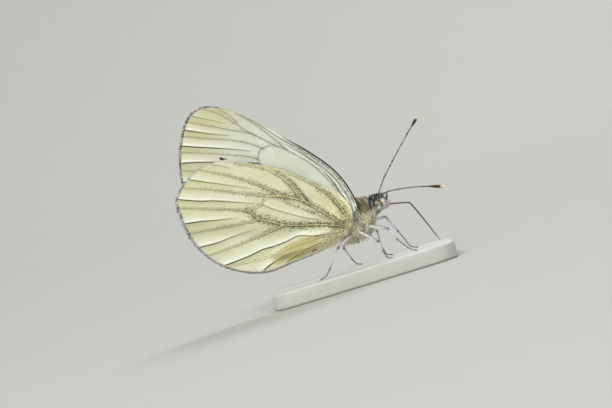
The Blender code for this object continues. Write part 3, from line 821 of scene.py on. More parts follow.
underHindwing = {
    "ground": srgb(226, 228, 198), "groundDeep": srgb(218, 221, 186), "tip": srgb(219, 217, 180),
    "tipSpan": (13.0, 20.0), "root": srgb(236, 229, 176), "rootSpan": (0.5, 5.5), "blush": 0.35,
    "blushTone": srgb(222, 214, 172), "scaleShade": srgb(182, 186, 142), "rowShade": 0.4,
    # the ridge colour is a painted highlight above each fold, dustHazeAndFoldShade also paints the shade
    # below it, and crease is the painted shadow in the fold
    "ridgeHighlight": srgb(246, 248, 234), "vein": srgb(240, 232, 186), "veinBrown": srgb(216, 200, 146),
    "veinTip": srgb(158, 134, 84), "veinStrength": 0.9, "dust": srgb(52, 48, 24),
    "hair": srgb(240, 234, 196), "dustHazeAndFoldShade": srgb(150, 145, 90), "haze": 0.26,
    "dustShare": 0.6, "strayDust": 0.015, "creaseShadow": srgb(58, 54, 10), "hem": srgb(212, 208, 198),
    "upperBorder": 0.6, "borderLow": 0.06, "borderHigh": 1.0,
    "frontSpan": (2.0, 5.0),
    "frontBands": [(-0.1, 0.35, 0.6, False, (236, 230, 190))],
}
forewing.update(
    slot="forewing", look=underForewing, margin=(8, 18), front=(1, 7), pleat=0.13, middle=0.235,
    leftSwing=0.0, veinRadius=0.055, flakeShare=0.35, fringeLength=0.27, fringeRag=0.4, fringeSpot=0.38,
    fringeStart=(0.0, 0.25), fringeFade=(0.55, 0.9), fringePale=srgb(216, 208, 212),
    fringeDark=srgb(24, 18, 26),
)
hindwing.update(
    slot="hindwing", look=underHindwing, margin=(9, 20), front=(1, 9), pleat=0.15, middle=0.25,
    leftSwing=1.2, veinRadius=0.070, flakeShare=0.62, fringeLength=0.28, fringeRag=0.55, fringeSpot=0.25,
    fringeStart=(0.08, 0.22), fringeFade=(0.30, 0.58), fringePale=srgb(228, 222, 226),
    fringeDark=srgb(44, 36, 44),
)


veinPipe = {"tip": 0.5, "step": 0.16, "sides": 8}


def veinWeb():
    web = Web("veinPipes", {"Sides": ("Int", veinPipe["sides"]), "Look": ("Material", None)})
    line = web.add("GeometryNodeMeshToCurve", Mesh=web.entry["Geometry"]).outputs["Curve"]
    ring = web.add("GeometryNodeCurvePrimitiveCircle", Resolution=web.entry["Sides"], Radius=mm)
    pipe = web.add("GeometryNodeCurveToMesh", Curve=line, Profile_Curve=ring.outputs["Curve"],
                   Fill_Caps=True, Scale=web.read("size"))
    return web.close(pipe.outputs["Mesh"])


def veinMaterial(name, look):
    tree = Tree(name, look["vein"])
    where = tree.place()
    tree.paint(tree.ramp(tree.noise(where, 1400.0), 0.40, 0.64), look["veinBrown"])
    tree.paint(tree.ramp(tree.attribute("outward"), 9.0, 17.0, 0.0, 0.75), look["veinTip"])
    fine = tree.noise(where, 9000.0, 3.0)
    dusty = tree.ramp(tree.attribute("tone"), 0.1, 0.95, 0.3, 0.9)
    tree.paint(tree.times(tree.ramp(fine, 0.40, 0.66), dusty), look["dust"])
    tree.bump(fine, 0.4, 0.00002)
    return tree.finish(0.5, Specular_IOR_Level=0.35)


def makeVeins(name, wing, sign, web, material):
    paths, sizes, tones, outs = [], [], [], []
    for dustStart, dustEnd, thick, knots in wing["veins"].values():
        path = evenly(smoothCurve(knots, 8), veinPipe["step"])
        share = np.linspace(0.0, 1.0, len(path))
        paths.append(wingSurface(wing, sign, path)[0])
        sizes.append(wing["veinRadius"] * thick ** 0.5 * (1 - (1 - veinPipe["tip"]) * share))
        tones.append(dustStart + (dustEnd - dustStart) * share)
        outs.append(path[:, 0])
    mesh = lineMesh(name, paths)
    setFloats(mesh, size=np.concatenate(sizes), tone=np.concatenate(tones), outward=np.concatenate(outs))
    obj = web.grow(mesh, name, keep=("tone", "outward"), Look=material)
    dress(obj, wing["slot"])


def prototype(name, points, faces, share, patch):
    # a hair, scale or joint to be planted many times: share runs along it, patch is its place on the map
    mesh = bpy.data.meshes.new(name)
    mesh.from_pydata(points, [], faces)
    bm = bmesh.new()
    bm.from_mesh(mesh)
    bmesh.ops.recalc_face_normals(bm, faces=bm.faces)
    bm.to_mesh(mesh)
    bm.free()
    mesh.shade_smooth()
    setFloats(mesh, blade=np.array(share))
    setVectors(mesh, patch=np.column_stack([patch, np.zeros(len(patch))]))
    return bpy.data.objects.new(name, mesh)


def hairMesh(name, hairs, radius, spread, bend, steps=3):
    # hairs of unit length, three-sided tapers that lean over; several start apart and draw together
    rng = np.random.default_rng(50 + hairs)
    points, faces, share, patch = [], [], [], []
    for hair in range(hairs):
        turn = 2 * math.pi * (hair + rng.uniform(-0.3, 0.3)) / hairs
        out = spread * rng.uniform(0.6, 1.0)
        tall = rng.uniform(0.72, 1.0) if spread else 1.0
        start = len(points)
        last, tip = start + (steps - 1) * 3, start + steps * 3
        faces += bandFaces(steps, 3, start)
        faces += [(last, last + 1, tip), (last + 1, last + 2, tip), (last + 2, last, tip)]
        faces.append((start + 2, start + 1, start))
        for k in range(steps + 1):
            t = k / steps
            off = out * (1 - 0.75 * t) + 0.2 * spread * math.sin(9 * t + hair)
            thick = radius * (1 - t ** 1.7)
            corners, rim = (3, 0.05) if k < steps else (1, 0.0)
            for corner in range(corners):
                angle = 2 * math.pi * corner / 3 + turn
                dx, dy = math.cos(angle), math.sin(angle)
                points.append((math.cos(turn) * off + bend * t * t + thick * dx,
                               math.sin(turn) * off + thick * dy, tall * t * (1 - 0.25 * abs(bend) * t)))
                share.append(t)
                patch.append((0.5 + 0.4 * math.cos(turn) * (1 - t) + rim * dx,
                              0.5 + 0.4 * math.sin(turn) * (1 - t) + rim * dy))
    return prototype(name, points, faces, share, patch)


def scaleMesh(name, width, thick, cup):
    # one scale of unit length: a thin shield, widest near its blunt end and cupped along its middle
    half = [(0.0, 0.15), (0.55, 0.5), (1.0, 0.2)]
    rim = half + [(t, -w) for t, w in half[::-1]]
    count = len(rim)
    points = [(thick * level + cup * (0.25 - w * w), w * width, t) for level in (0.5, -0.5) for t, w in rim]
    faces = [face[::-1] for face in bandFaces(2, count)] + capFaces(2, count)
    return prototype(name, points, faces, [t for t, w in rim * 2],
                     [(0.5 + 0.9 * w, 0.05 + 0.9 * t) for t, w in rim * 2])


def tuftBox(name, shape, *kinds):
    # a few shapes of one tuft, to be picked from at random
    box = bpy.data.collections.new(name)
    for number, kind in enumerate(kinds):
        box.objects.link(shape(f"{name}{number}", *kind))
    return box


tuftInputs = {
    "Tufts": ("Collection", None), "Seed": ("Int", 1), "Spread": ("Float", 0.35), "Shortest": ("Float", 0.7),
    "Longest": ("Float", 1.25), "Patch": ("Float", 0.003), "Look": ("Material", None),
}


def plantTufts(web, points, normal):
    # a tuft on each point, leaning the way its root says, with its own small patch of the map
    entry = web.entry
    stray = web.chance((-1.0, -1.0, -1.0), (1.0, 1.0, 1.0), 5, "FLOAT_VECTOR")
    lean = web.vector("ADD", web.read("lie", "FLOAT_VECTOR"), web.vector("SCALE", normal, web.read("stand")))
    lean = web.vector("ADD", web.vector("NORMALIZE", lean), web.vector("SCALE", stray, entry["Spread"]))
    turn = web.align("X", normal, {"pivot_axis": "Z"}, Rotation=web.align("Z", lean))
    size = web.times(web.chance(entry["Shortest"], entry["Longest"], 9), web.read("length"), mm)
    tufts = web.add("GeometryNodeCollectionInfo", Collection=entry["Tufts"], Separate_Children=True,
                    Reset_Children=True)
    grown = web.add("GeometryNodeInstanceOnPoints", Pick_Instance=True,
                    Points=web.write(points, "luck", web.chance(0.0, 1.0, 17)),
                    Instance=tufts.outputs["Instances"], Instance_Index=web.chance(0, 11, 13, "INT"),
                    Rotation=turn, Scale=size)
    real = web.realize(grown.outputs["Instances"])
    local = web.vector("SUBTRACT", web.read("patch", "FLOAT_VECTOR"), (0.5, 0.5, 0.0))
    spot = web.vector("ADD", web.read("OFBake", "FLOAT_VECTOR"), web.vector("SCALE", local, entry["Patch"]))
    return web.close(web.write(real, "OFBake", spot, "FLOAT2", "CORNER"))


def coatWeb():
    # tufts scattered over a skin
    web = Web("coat", {"PerArea": ("Float", 1e7), **tuftInputs})
    density = web.times(web.read("density"), web.entry["PerArea"])
    roots = web.add("GeometryNodeDistributePointsOnFaces", {"distribute_method": "RANDOM"},
                    Mesh=web.entry["Geometry"], Density=density, Seed=web.entry["Seed"])
    return plantTufts(web, roots.outputs["Points"], roots.outputs["Normal"])


def fringeWeb():
    # tufts in rows along an edge
    web = Web("fringe", tuftInputs)
    return plantTufts(web, web.entry["Geometry"], web.read("normal", "FLOAT_VECTOR"))


coat = coatWeb()
fringe = fringeWeb()
coatFields = ("blade", "tint", "luck", "OFBake")


def growCoat(name, skin, slot, tufts, material, settings, density, lie, longer=0.0, scaled=1.0, upright=0.0):
    # density, longer, scaled and upright are numbers or arrays with one for each point of the skin; lie
    # has the direction in which the tufts lie down there
    mesh = skin.data.copy()
    one = np.ones(len(mesh.vertices))
    setFloats(mesh, density=density * one, stand=(settings["stand"] + upright) * one,
              length=(settings["length"] * scaled + longer) * one)
    setVectors(mesh, lie=lie)
    obj = coat.grow(mesh, name, keep=coatFields, Tufts=tufts, Look=material, Seed=settings["seed"],
                    PerArea=settings["perArea"] * 1e6, Spread=settings.get("spread", coat.usual["Spread"]))
    dress(obj, slot)
    print(name, len(obj.data.polygons), "faces")


def coatMaterial(name, rootShade, tipLight, dark=0.25, light=0.3, lightFrom=0.55, patchy=0.15, sheen=0.2,
                 darkSpan=(0.0, 0.3), pale=(0.94, 0.93, 0.88)):
    # reads the skin's markings at each root; some tufts are darker and some paler, and tips are pale
    tree = Tree(name)
    blade, luck = tree.attribute("blade"), tree.attribute("luck")
    patch = tree.noise(tree.place(), 5200.0)
    tree.paint(tree.fall(luck, *darkSpan, dark), (0.07, 0.06, 0.03))
    tree.paint(tree.ramp(luck, lightFrom, 1.0, 0.0, light), pale)
    tree.paint(tree.fall(blade, 0.0, 0.55, rootShade), (0.05, 0.045, 0.04))
    tree.paint(tree.ramp(blade, 0.45, 1.0, 0.0, tipLight), (0.92, 0.91, 0.86))
    tree.paint(tree.ramp(patch, 0.50, 0.62, 0.0, patchy), (0.14, 0.13, 0.09))
    tree.paint(tree.fall(patch, 0.36, 0.48, patchy), pale)
    return tree.finish(0.52, Sheen_Weight=sheen, Specular_IOR_Level=0.3)


wingCoat = {
    # perArea is the number on a square millimetre, and the left side's seed is the next number
    "flakes": {"perArea": 125, "seed": 21, "length": 0.10, "stand": 0.16, "spread": 0.3},
    "hairs": {"perArea": 42, "seed": 23, "length": 0.62, "stand": 0.28, "spread": 0.28},
    "fringe": {"step": 0.03, "rows": 3, "apart": 0.02, "inset": 0.07},
}


def readVertices(mesh, name, kind, width):
    values = np.empty(len(mesh.vertices) * width, np.float32)
    mesh.attributes[name].data.foreach_get(kind, values)
    return values.reshape(-1, width) if width > 1 else values


def makeWingCoat(label, wing, side, sign, membrane, flakes, hairs, look, hairLook):
    mesh = membrane.data
    flat = readVertices(mesh, "lay", "vector", 3)[:, :2].astype(float)
    dust, outside, edge = (readVertices(mesh, key, "value", 1) for key in ("dust", "outside", "edge"))
    # the scales lie away from the wing's root
    way = wingWay(wing, sign, unit(flat, 0.3))

    def grow(kind, part, tufts, material, colour, density, lie, scaled):
        settings = wingCoat[kind]
        setTint(mesh, wing["look"][colour])
        growCoat(label + part + side, membrane, wing["slot"], tufts, material,
                 {**settings, "seed": settings["seed"] + (sign > 0)}, density, lie, scaled=scaled)
        mesh.attributes.remove(mesh.attributes["tint"])

    grow("flakes", "Dust", flakes, look, "dust",
         outside * wing["flakeShare"] * (np.clip(dust, 0, 1) ** 1.25 + 0.008), way, 0.75 + 0.35 * dust)
    if wing is hindwing:
        # long hairs hang from the hindwing's root and along its inner margin
        low = blend(flat[:, 1] - 0.30 * flat[:, 0], 0.0, 0.9) * (1 - blend(flat[:, 0], 1.8, 4.6))
        near = 0.9 * low + 0.35 * (1 - blend(np.linalg.norm(flat, axis=1), 0.6, 2.2))
        near = np.clip(near, 0, 1)
        grow("hairs", "Hairs", hairs, hairLook, "hair", outside * near * blend(edge, 0.0, 0.3),
             0.35 * way + [0.1, 0.0, -1.0], 0.6 + 0.5 * near)


def makeFringe(label, wing, side, sign, tufts, look):
    settings = wingCoat["fringe"]
    path = evenly(edgePath(wing, "margin"), settings["step"])
    count = len(path)
    ahead = unit(np.gradient(path, axis=0))
    out = np.column_stack([ahead[:, 1], -ahead[:, 0]])
    lines = [*wing["veins"].values(), *wing["folds"].values()]
    ends = np.array([line[-1][-1] for line in lines if line[-1][-1][0] > 8.0])
    gap = np.min(np.linalg.norm(path[:, None, :] - ends[None, :, :], axis=2), axis=1)
    share = np.linspace(0.0, 1.0, count)
    run = share * count * settings["step"]
    # where the fringe is worn short, and where a line ends in a dark spot
    fade = blend(share, *wing["fringeFade"])
    worst = blend(share, *wing["fringeStart"]) * (1 - 0.85 * fade)
    shade = np.exp(-(gap / wing["fringeSpot"]) ** 2) * (1 - fade)
    rng = np.random.default_rng(7)
    points, ways, tints, lengths, spread = [], [], [], [], []
    for row in range(settings["rows"]):
        slide = rng.uniform(-0.5, 0.5, count) * settings["step"]
        inset = rng.uniform(0.0, settings["inset"], count)
        middle, _ = wingSurface(wing, sign, path + ahead * slide[:, None] - out * inset[:, None])
        middle[:, 1] += sign * (row - 1) * settings["apart"]
        points.append(middle)
        ways.append(wingWay(wing, sign, out, 0.12 * sign * (row - 1)))
        clump = 0.5 + 0.5 * np.sin(run * 9 + 2.0 * np.sin(run * 2.4 + row))
        worn = 0.65 + 0.35 * np.sin(run * 3.6 + 1.3 * np.sin(run * 1.4))
        ragged = smoothStep((np.sin(run * 24 + 3.0 * np.sin(run * 6.5 + 0.6 * row)) + 0.1) / 0.6)
        blot = shade * 1.4 * worn + wing["fringeRag"] * ragged * worst
        blot = blot + rng.normal(0, 0.12, count) + 0.3 * (clump - 0.5)
        blot = np.clip(blot, 0, 1)[:, None]
        tints.append(np.array(wing["fringePale"]) * (1 - blot) + np.array(wing["fringeDark"]) * blot)
        lengths.append(wing["fringeLength"] * (0.5 + 0.3 * clump + 0.4 * ragged) * (0.3 + 0.7 * worst))
        spread.append(np.column_stack([0.02 + 0.96 * share, np.full(count, 0.2 + 0.3 * row),
                                       np.zeros(count)]))
    name = label + "Fringe" + side
    mesh = bpy.data.meshes.new(name)
    mesh.from_pydata([tuple(p) for p in place(np.vstack(points))], [], [])
    total = len(mesh.vertices)
    setFloats(mesh, stand=np.zeros(total), length=np.concatenate(lengths))
    setVectors(mesh, lie=np.vstack(ways), OFBake=np.vstack(spread),
               normal=np.tile([0.0, float(sign), 0.0], (total, 1)))
    setTint(mesh, np.vstack(tints))
    obj = fringe.grow(mesh, name, keep=coatFields, Tufts=tufts, Look=look, Seed=3, Spread=0.16)
    dress(obj, wing["slot"])


def makeWings():
    pipes = veinWeb()
    flakes = tuftBox("dustFlake", scaleMesh, (0.5, 0.10, 0.06), (0.38, 0.10, 0.1), (0.6, 0.10, 0.03))
    hairs = tuftBox("wingHair", hairMesh, *[(1, 0.028, 0.0, bend) for bend in (0.1, 0.28, -0.1)])
    edging = tuftBox("edgeScale", scaleMesh, (0.26, 0.12, 0.05), (0.18, 0.12, 0.1), (0.32, 0.12, 0.0))
    flakeLook = coatMaterial("dustFlakeLook", 0.0, 0.06, 0.3, 0.12)
    hairLook = coatMaterial("wingHairLook", 0.0, 0.3, 0.4, 0.8, pale=(0.95, 0.93, 0.80))
    fringeLook = coatMaterial("fringeLook", 0.45, 0.2, 0.7, 0.5, darkSpan=(0.12, 0.2))
    for wing, label in ((forewing, "forewing"), (hindwing, "hindwing")):
        paint = wingMaterial(label + "Scales", wing)
        veinPaint = veinMaterial(label + "Veins", wing["look"])
        for side, sign in (("Right", -1), ("Left", 1)):
            membrane = makeMembrane(label + side, wing, sign, paint, label + "_" + side.lower())
            makeVeins(label + "Veins" + side, wing, sign, pipes, veinPaint)
            makeWingCoat(label, wing, side, sign, membrane, flakes, hairs, flakeLook, hairLook)
            makeFringe(label, wing, side, sign, edging, fringeLook)
    print("wings made")


trunk = {
    "sides": 84,
    "stations": 190,
    "coatDepth": 0.17,  # share of the reach that the coat fills
    "segments": 8,
    "groove": 0.06,
    "abdomenEnd": 3.5,
    "narrow": {"waist": (3.5, 0.35, 0.10), "neck": (8.0, 0.2, 0.05)},  # place, width, depth
    "pointed": 0.02,
    "bandLean": 0.42,  # how far the bands of neck and head lean forward, for each millimetre up
}


def trunkReach(x):
    curve = smoothCurve(trunkTable, 12)
    return tuple(np.interp(x, curve[:, 0], curve[:, k]) for k in (1, 2, 3, 4))


def trunkRings():
    xs = np.linspace(0.0, 1.0, trunk["stations"])
    start, end = trunkTable[0, 0] + 0.03, trunkTable[-1, 0] - 0.02
    xs = start + (end - start) * (0.7 * xs + 0.3 * 0.5 * (1 - np.cos(math.pi * xs)))
    z, up, down, side = trunkReach(xs)
    lean = np.arctan2(trunkReach(xs + 0.4)[0] - trunkReach(xs - 0.4)[0], 0.8)
    turn = np.linspace(0.0, 2 * math.pi, trunk["sides"] + 1)[:-1]
    # the abdomen's rings, and the waist and neck
    along = (xs - trunkTable[0, 0]) / (trunk["abdomenEnd"] - trunkTable[0, 0])
    ring = np.abs(np.sin(math.pi * trunk["segments"] * along)) ** 0.35
    groove = np.where(along < 1.0, 1 - trunk["groove"] + trunk["groove"] * ring, 1.0)
    narrow = np.ones(len(xs))
    for at, width, depth in trunk["narrow"].values():
        narrow = narrow - depth * peak(xs, at, width)
    scale = ((1 - trunk["coatDepth"]) * groove * narrow)[:, None]
    cosine, sine = np.cos(turn)[None, :], np.sin(turn)[None, :]
    across = side[:, None] * sine * scale
    high = np.where(cosine > 0, up[:, None], down[:, None]) * cosine * scale
    px = xs[:, None] - high * np.sin(lean)[:, None]
    pz = z[:, None] + high * np.cos(lean)[:, None]
    return np.stack([px, across, pz], axis=-1), xs, turn


bodyColours = {
    "cream": srgb(252, 246, 200), "white": srgb(252, 249, 226), "backGrey": srgb(58, 58, 56),
    # navy serves as painted shade in the gap behind the collar, and as a thin stripe in it
    "blueGrey": srgb(206, 220, 214), "navyStripeAndGapShade": srgb(40, 52, 62), "black": srgb(14, 10, 14),
    "olive": srgb(112, 106, 56), "tan": srgb(202, 186, 156), "brown": srgb(104, 74, 26),
    # iceBlueHighlight is a painted highlight on the collar
    "iceBlueHighlight": srgb(196, 210, 218), "face": srgb(246, 236, 236), "cheek": srgb(230, 224, 210),
    "chin": srgb(128, 100, 40),
}


def bodyTint(s, top):
    # the markings, from where a point is: s along the body, top from 1 on the back to -1 below
    wave = 0.10 * np.sin(s * 9.0 + top * 4.0)
    layers = (
        ("white", blend(-top, 0.2, 0.9) * blend(-s, -3.4, -1.0)),
        ("backGrey", blend(top, 0.35, 0.8) * (1 - blend(s, 3.2, 4.0)) * 0.9),
        ("backGrey", blend(top + wave, 0.3, 0.7) * span(s, 3.2, 4.0, 6.8, 7.1) * 0.85),
        ("blueGrey", peak(s, 5.9, 0.28) * blend(top, -0.8, -0.4) * 0.8),
        ("brown", peak(s, 7.0, 0.6) * span(-top, -0.1, 0.1, 0.5, 0.8) * 0.3),
        ("olive", span(s, 6.35, 6.5, 7.65, 7.8) * blend(top + wave, -0.15, 0.15) * 0.95),
        # painted shade in the gap between the forewing's base and the collar
        ("navyStripeAndGapShade", peak(s, 6.5, 0.13) * blend(top, 0.25, 0.5) * 0.9),
        ("navyStripeAndGapShade", peak(s, 6.95, 0.06) * blend(top, 0.1, 0.3) * 0.5),
        ("brown", span(s, 7.15, 7.4, 7.7, 7.8) * blend(top, -0.3, 0.0) * 0.85),
        ("tan", span(s, 6.5, 6.7, 7.6, 7.75) * blend(top + wave, 0.70, 0.9) * 0.9),
        ("black", blend(s, 7.68, 7.78) * blend(top, -0.5, -0.2)),
        # painted highlight: a small ice-blue spot high on the collar
        ("iceBlueHighlight", np.exp(-((s - 7.66) / 0.09) ** 2 - ((top - 0.6) / 0.25) ** 2) * 0.95),
        ("cheek", blend(s, 8.05, 8.2) * (1 - blend(top, 0.25, 0.5))),
        ("chin", span(s, 8.3, 8.5, 9.1, 9.3) * blend(-top, 0.5, 0.8) * 0.85),
        ("face", blend(s, 9.1, 9.4) * (1 - 0.75 * blend(top, 0.35, 0.8))),
    )
    colour = np.tile(np.array(bodyColours["cream"]), (len(s), 1))
    for name, share in layers:
        share = np.clip(share, 0, 1)[:, None]
        colour = colour * (1 - share) + np.array(bodyColours[name]) * share
    return colour


def skinMaterial():
    tree = Tree("bodySkin")
    where = tree.place()
    fine = tree.noise(where, 16000.0, 3.0)
    tree.paint(tree.ramp(tree.noise(where, 2600.0), 0.35, 0.65, 0.0, 0.2), (0.06, 0.05, 0.045))
    tree.paint(tree.ramp(fine, 0.4, 0.7, 0.0, 0.15), (0.7, 0.68, 0.6))
    tree.bump(fine, 0.5, 0.00003)
    return tree.finish(0.6, Specular_IOR_Level=0.3)


def makeTrunk():
    grid, xs, turn = trunkRings()
    rows, columns = grid.shape[:2]
    points = grid.reshape(-1, 3)
    faces = bandFaces(rows, columns)
    # both ends close to a point
    first, last = points[:columns].mean(axis=0), points[-columns:].mean(axis=0)
    tip = np.array([trunk["pointed"], 0, 0])
    points = np.vstack([points, first - tip, last + tip])
    tail, nose = rows * columns, rows * columns + 1
    ring = [(i, (i + 1) % columns) for i in range(columns)]
    faces += [(j, i, tail) for i, j in ring]
    faces += [(tail - columns + i, tail - columns + j, nose) for i, j in ring]
    obj = newMesh("trunkSkin", place(points), faces, skinMaterial())
    mesh = obj.data
    s = np.concatenate([np.repeat(xs, columns), [xs[0], xs[-1]]])
    top = np.concatenate([np.tile(np.cos(turn), rows), [0.0, 0.0]])
    s = s - trunk["bandLean"] * (points[:, 2] - trunkReach(s)[0]) * blend(s, 5.6, 6.6)
    setTint(mesh, bodyTint(s, top))
    # the skin cut open along the belly and laid flat, length against girth
    corners = cornerPoints(mesh)
    run = measure(np.column_stack([xs, trunkReach(xs)[1]]))[1]
    u = ((corners % columns + columns / 2) % columns) / columns
    v = (run / run[-1])[np.minimum(corners // columns, rows - 1)]
    v = np.where(corners == tail, -0.002, np.where(corners == nose, 1.002, v))
    mendSeam(mesh, u, 1.0)
    for begin in range(4 * (rows - 1) * columns, len(corners), 3):
        # the end's point goes between the other two corners
        u[begin + 2] = u[begin:begin + 2].mean()
    setMap(mesh, np.column_stack([0.02 + 0.94 * u, 0.02 + 0.95 * v]))
    dress(obj, "fur", "abdomen", "thorax", "neck", "head")
    return obj, s, top


bodyCoat = {
    # perArea is the number on a square millimetre, stand how far they stand up, length in millimetres
    "abdomenScales": {"perArea": 150, "seed": 11, "stand": 0.22, "length": 0.26},
    "abdomenHairs": {"perArea": 30, "seed": 12, "stand": 0.35, "length": 0.50},
    "thoraxFur": {"perArea": 34, "seed": 13, "stand": 0.55, "length": 0.60},
    "breastLocks": {"perArea": 44, "seed": 14, "stand": 0.42, "length": 0.62, "spread": 0.42},
    "shoulderHairs": {"perArea": 24, "seed": 17, "stand": 0.6, "length": 0.72, "spread": 0.3},
    "collarHairs": {"perArea": 60, "seed": 15, "stand": 0.42, "length": 0.40, "spread": 0.25},
    "crownHairs": {"perArea": 130, "seed": 16, "stand": 0.8, "length": 0.26},
    "faceHairs": {"perArea": 240, "seed": 18, "stand": 0.7, "length": 0.30, "spread": 0.3},
    "faceBristles": {"perArea": 75, "seed": 19, "stand": 0.4, "length": 0.8, "spread": 0.25},
}


def makeBody():
    skin, s, top = makeTrunk()
    x, y, z = ((readVertices(skin.data, "position", "vector", 3) - np.array(origin)) / mm).T
    side = np.sign(y) * np.sqrt(np.clip(1 - top ** 2, 0, 1))
    onEye = np.hypot((x - eye["centre"][0]) / 0.74, (z - eye["centre"][2]) / 0.76) < 1.0
    bare = np.where(onEye & (np.abs(top) < 0.97), 0.0, 1.0)

    def grow(name, slot, tufts, look, density, way, longer=0.0):
        # way is how far the tufts lie forward, outward and up
        forward, out, up = way
        lie = unit(np.stack(np.broadcast_arrays(forward, out * side, up), axis=1), 1e-6)
        growCoat(name, skin, slot, tufts, look, bodyCoat[name], density, lie, longer)

    fine = tuftBox("fineHair", hairMesh, *[(1, 0.030, 0.0, bend, 4) for bend in (0.1, 0.25, -0.12, 0.4)])
    locks = tuftBox("lock", hairMesh, *[(5, 0.040, 0.12, bend) for bend in (0.15, 0.4, -0.2)])
    coarse = tuftBox("coarseHair", hairMesh, *[(3, 0.055, 0.09, bend) for bend in (0.1, 0.3, -0.2)])
    plates = tuftBox("bodyScale", scaleMesh, (0.55, 0.07, 0.10), (0.42, 0.07, 0.16), (0.62, 0.07, 0.06),
                     (0.48, 0.07, -0.04))
    furLook = coatMaterial("bodyFur", 0.0, 0.45, 0.85, 0.95, 0.3, patchy=0.52, sheen=0.5,
                           darkSpan=(0.12, 0.18), pale=(0.96, 0.93, 0.78))
    darkLook = coatMaterial("collarFur", 0.3, 0.0, 0.6, 0.3, pale=(0.62, 0.56, 0.34))
    crownLook = coatMaterial("crownFur", 0.2, 0.0, 0.6, 0.95, 0.88, sheen=0.0)
    faceLook = coatMaterial("faceFur", 0.1, 0.45, 0.35, 0.8)
    scaly = coatMaterial("bodyScaleLook", 0.25, 0.15, 0.3, 0.3)
    below, above = blend(-top, 0.0, 0.8), blend(top, 0.0, 0.8)
    onAbdomen = 1 - blend(s, 3.1, 3.8)
    onHead = blend(s, 7.7, 7.8)
    onCrown = onHead * bare * np.maximum(blend(top, 0.2, 0.35),
                                         blend(top, -0.45, -0.3) * (1 - blend(s, 8.05, 8.2)))
    onCrown = onCrown * (1 - 0.7 * blend(s, 9.2, 9.5))

    grow("abdomenScales", "fur", plates, scaly, onAbdomen, (-1.0, 0.0, 0.02))
    grow("abdomenHairs", "fur", fine, furLook, onAbdomen * (0.4 + 0.6 * below), (-1.0, 0.0, -0.15),
         -0.15 * blend(-s, 2.0, 4.0))
    grow("thoraxFur", "fur", locks, furLook, span(s, 3.2, 4.0, 6.45, 6.6),
         (-0.7, 0.1, 0.35 * above - 0.7 * below), 0.15 * above)
    grow("breastLocks", "fur", locks, furLook, span(s, 3.6, 4.4, 7.9, 8.2) * blend(-top, -0.25, 0.05),
         (-0.35 + 0.75 * blend(s, 5.2, 7.4), 0.15, -0.95), 0.32 * below * (1 - blend(s, 6.6, 7.6)))
    grow("shoulderHairs", "fur", locks, furLook,
         span(s, 5.5, 6.0, 6.45, 6.65) * span(top, -0.6, -0.3, 0.3, 0.6), (0.45, 0.5, -0.75))
    grow("collarHairs", "collar", locks, darkLook, span(s, 6.4, 6.5, 7.7, 7.8) * blend(top, -0.15, 0.1),
         (-0.35, 0.1, 0.9 * above - 0.9 * (1 - above)), 0.12 * above)
    grow("crownHairs", "head", coarse, crownLook, onCrown, (-0.15 + 0.4 * above, 0.1, 0.5 * above),
         0.26 * above)
    grow("faceHairs", "head", fine, faceLook, onHead * bare - onCrown,
         (0.35 + 0.5 * blend(s, 9.0, 9.4), 0.1, -0.5), 0.12 * blend(s, 9.2, 9.8))
    grow("faceBristles", "head", fine, faceLook, blend(s, 9.05, 9.35) * bare * (1 - blend(top, 0.0, 0.4)),
         (0.9, 0.12, -0.2))
    print("body and coat made")


eye = {
    "centre": (8.80, 0.74, 6.42), "reach": (0.68, 0.46, 0.72), "facet": 0.030, "rings": 40, "sides": 56,
}


def eyeMaterial():
    # faint dark spots float under the facets, with a paler haze between them
    tree = Tree("eyeGloss", srgb(84, 66, 50))
    where = tree.place()
    haze = tree.noise(where, 1900.0, 1.0)
    facet = tree.cells(where, 1000.0 / eye["facet"])[0]
    tree.paint(tree.ramp(haze, 0.42, 0.58), srgb(164, 160, 122))
    tree.paint(tree.fall(tree.cells(where, 2300.0)[0], 0.24, 0.46, 0.85), srgb(40, 26, 34))
    # painted reflection of the sky: a pale cyan patch low in front
    tree.paint(tree.times(tree.attribute("glow"), tree.ramp(haze, 0.3, 0.6, 1.0, 0.55)), srgb(214, 250, 248))
    tree.paint(tree.attribute("brow"), srgb(44, 34, 26))
    tree.paint(tree.ramp(facet, 0.35, 0.6, 0.0, 0.22), srgb(40, 40, 30))
    tree.bump(tree.fall(facet, 0.1, 0.6), 0.25, 0.00001)
    return tree.finish(0.32, Coat_Weight=0.25, Coat_Roughness=0.15, Specular_IOR_Level=0.45)


def makeEyes():
    material = eyeMaterial()
    rings, sides = eye["rings"], eye["sides"]
    unitBall = [(0.0, -1.0, 0.0)]
    for k in range(1, rings):
        lift = -math.pi / 2 + math.pi * k / rings
        unitBall += [(x, math.sin(lift), z) for x, z, _ in ringPoints(sides, math.cos(lift), 0.0)]
    unitBall = np.array(unitBall + [(0.0, 1.0, 0.0)])
    faces = [face[::-1] for face in latheFaces(rings - 1, sides, True)]
    # a painted reflection low in front, and a dark brow
    front, high = unitBall[:, 0], unitBall[:, 2]
    glow = 1.15 * np.exp(-((front - 0.2) / 0.42) ** 2 - ((high + 0.42) / 0.3) ** 2)
    for label, sign in (("Right", -1), ("Left", 1)):
        centre = np.array(eye["centre"]) * (1, sign, 1)
        obj = newMesh("eye" + label, place(unitBall * np.array(eye["reach"]) + centre), faces, material)
        setFloats(obj.data, glow=glow, brow=0.65 * blend(high, 0.45, 0.9))
        dress(obj, "eye", "eye_" + label.lower())
    print("eyes made")


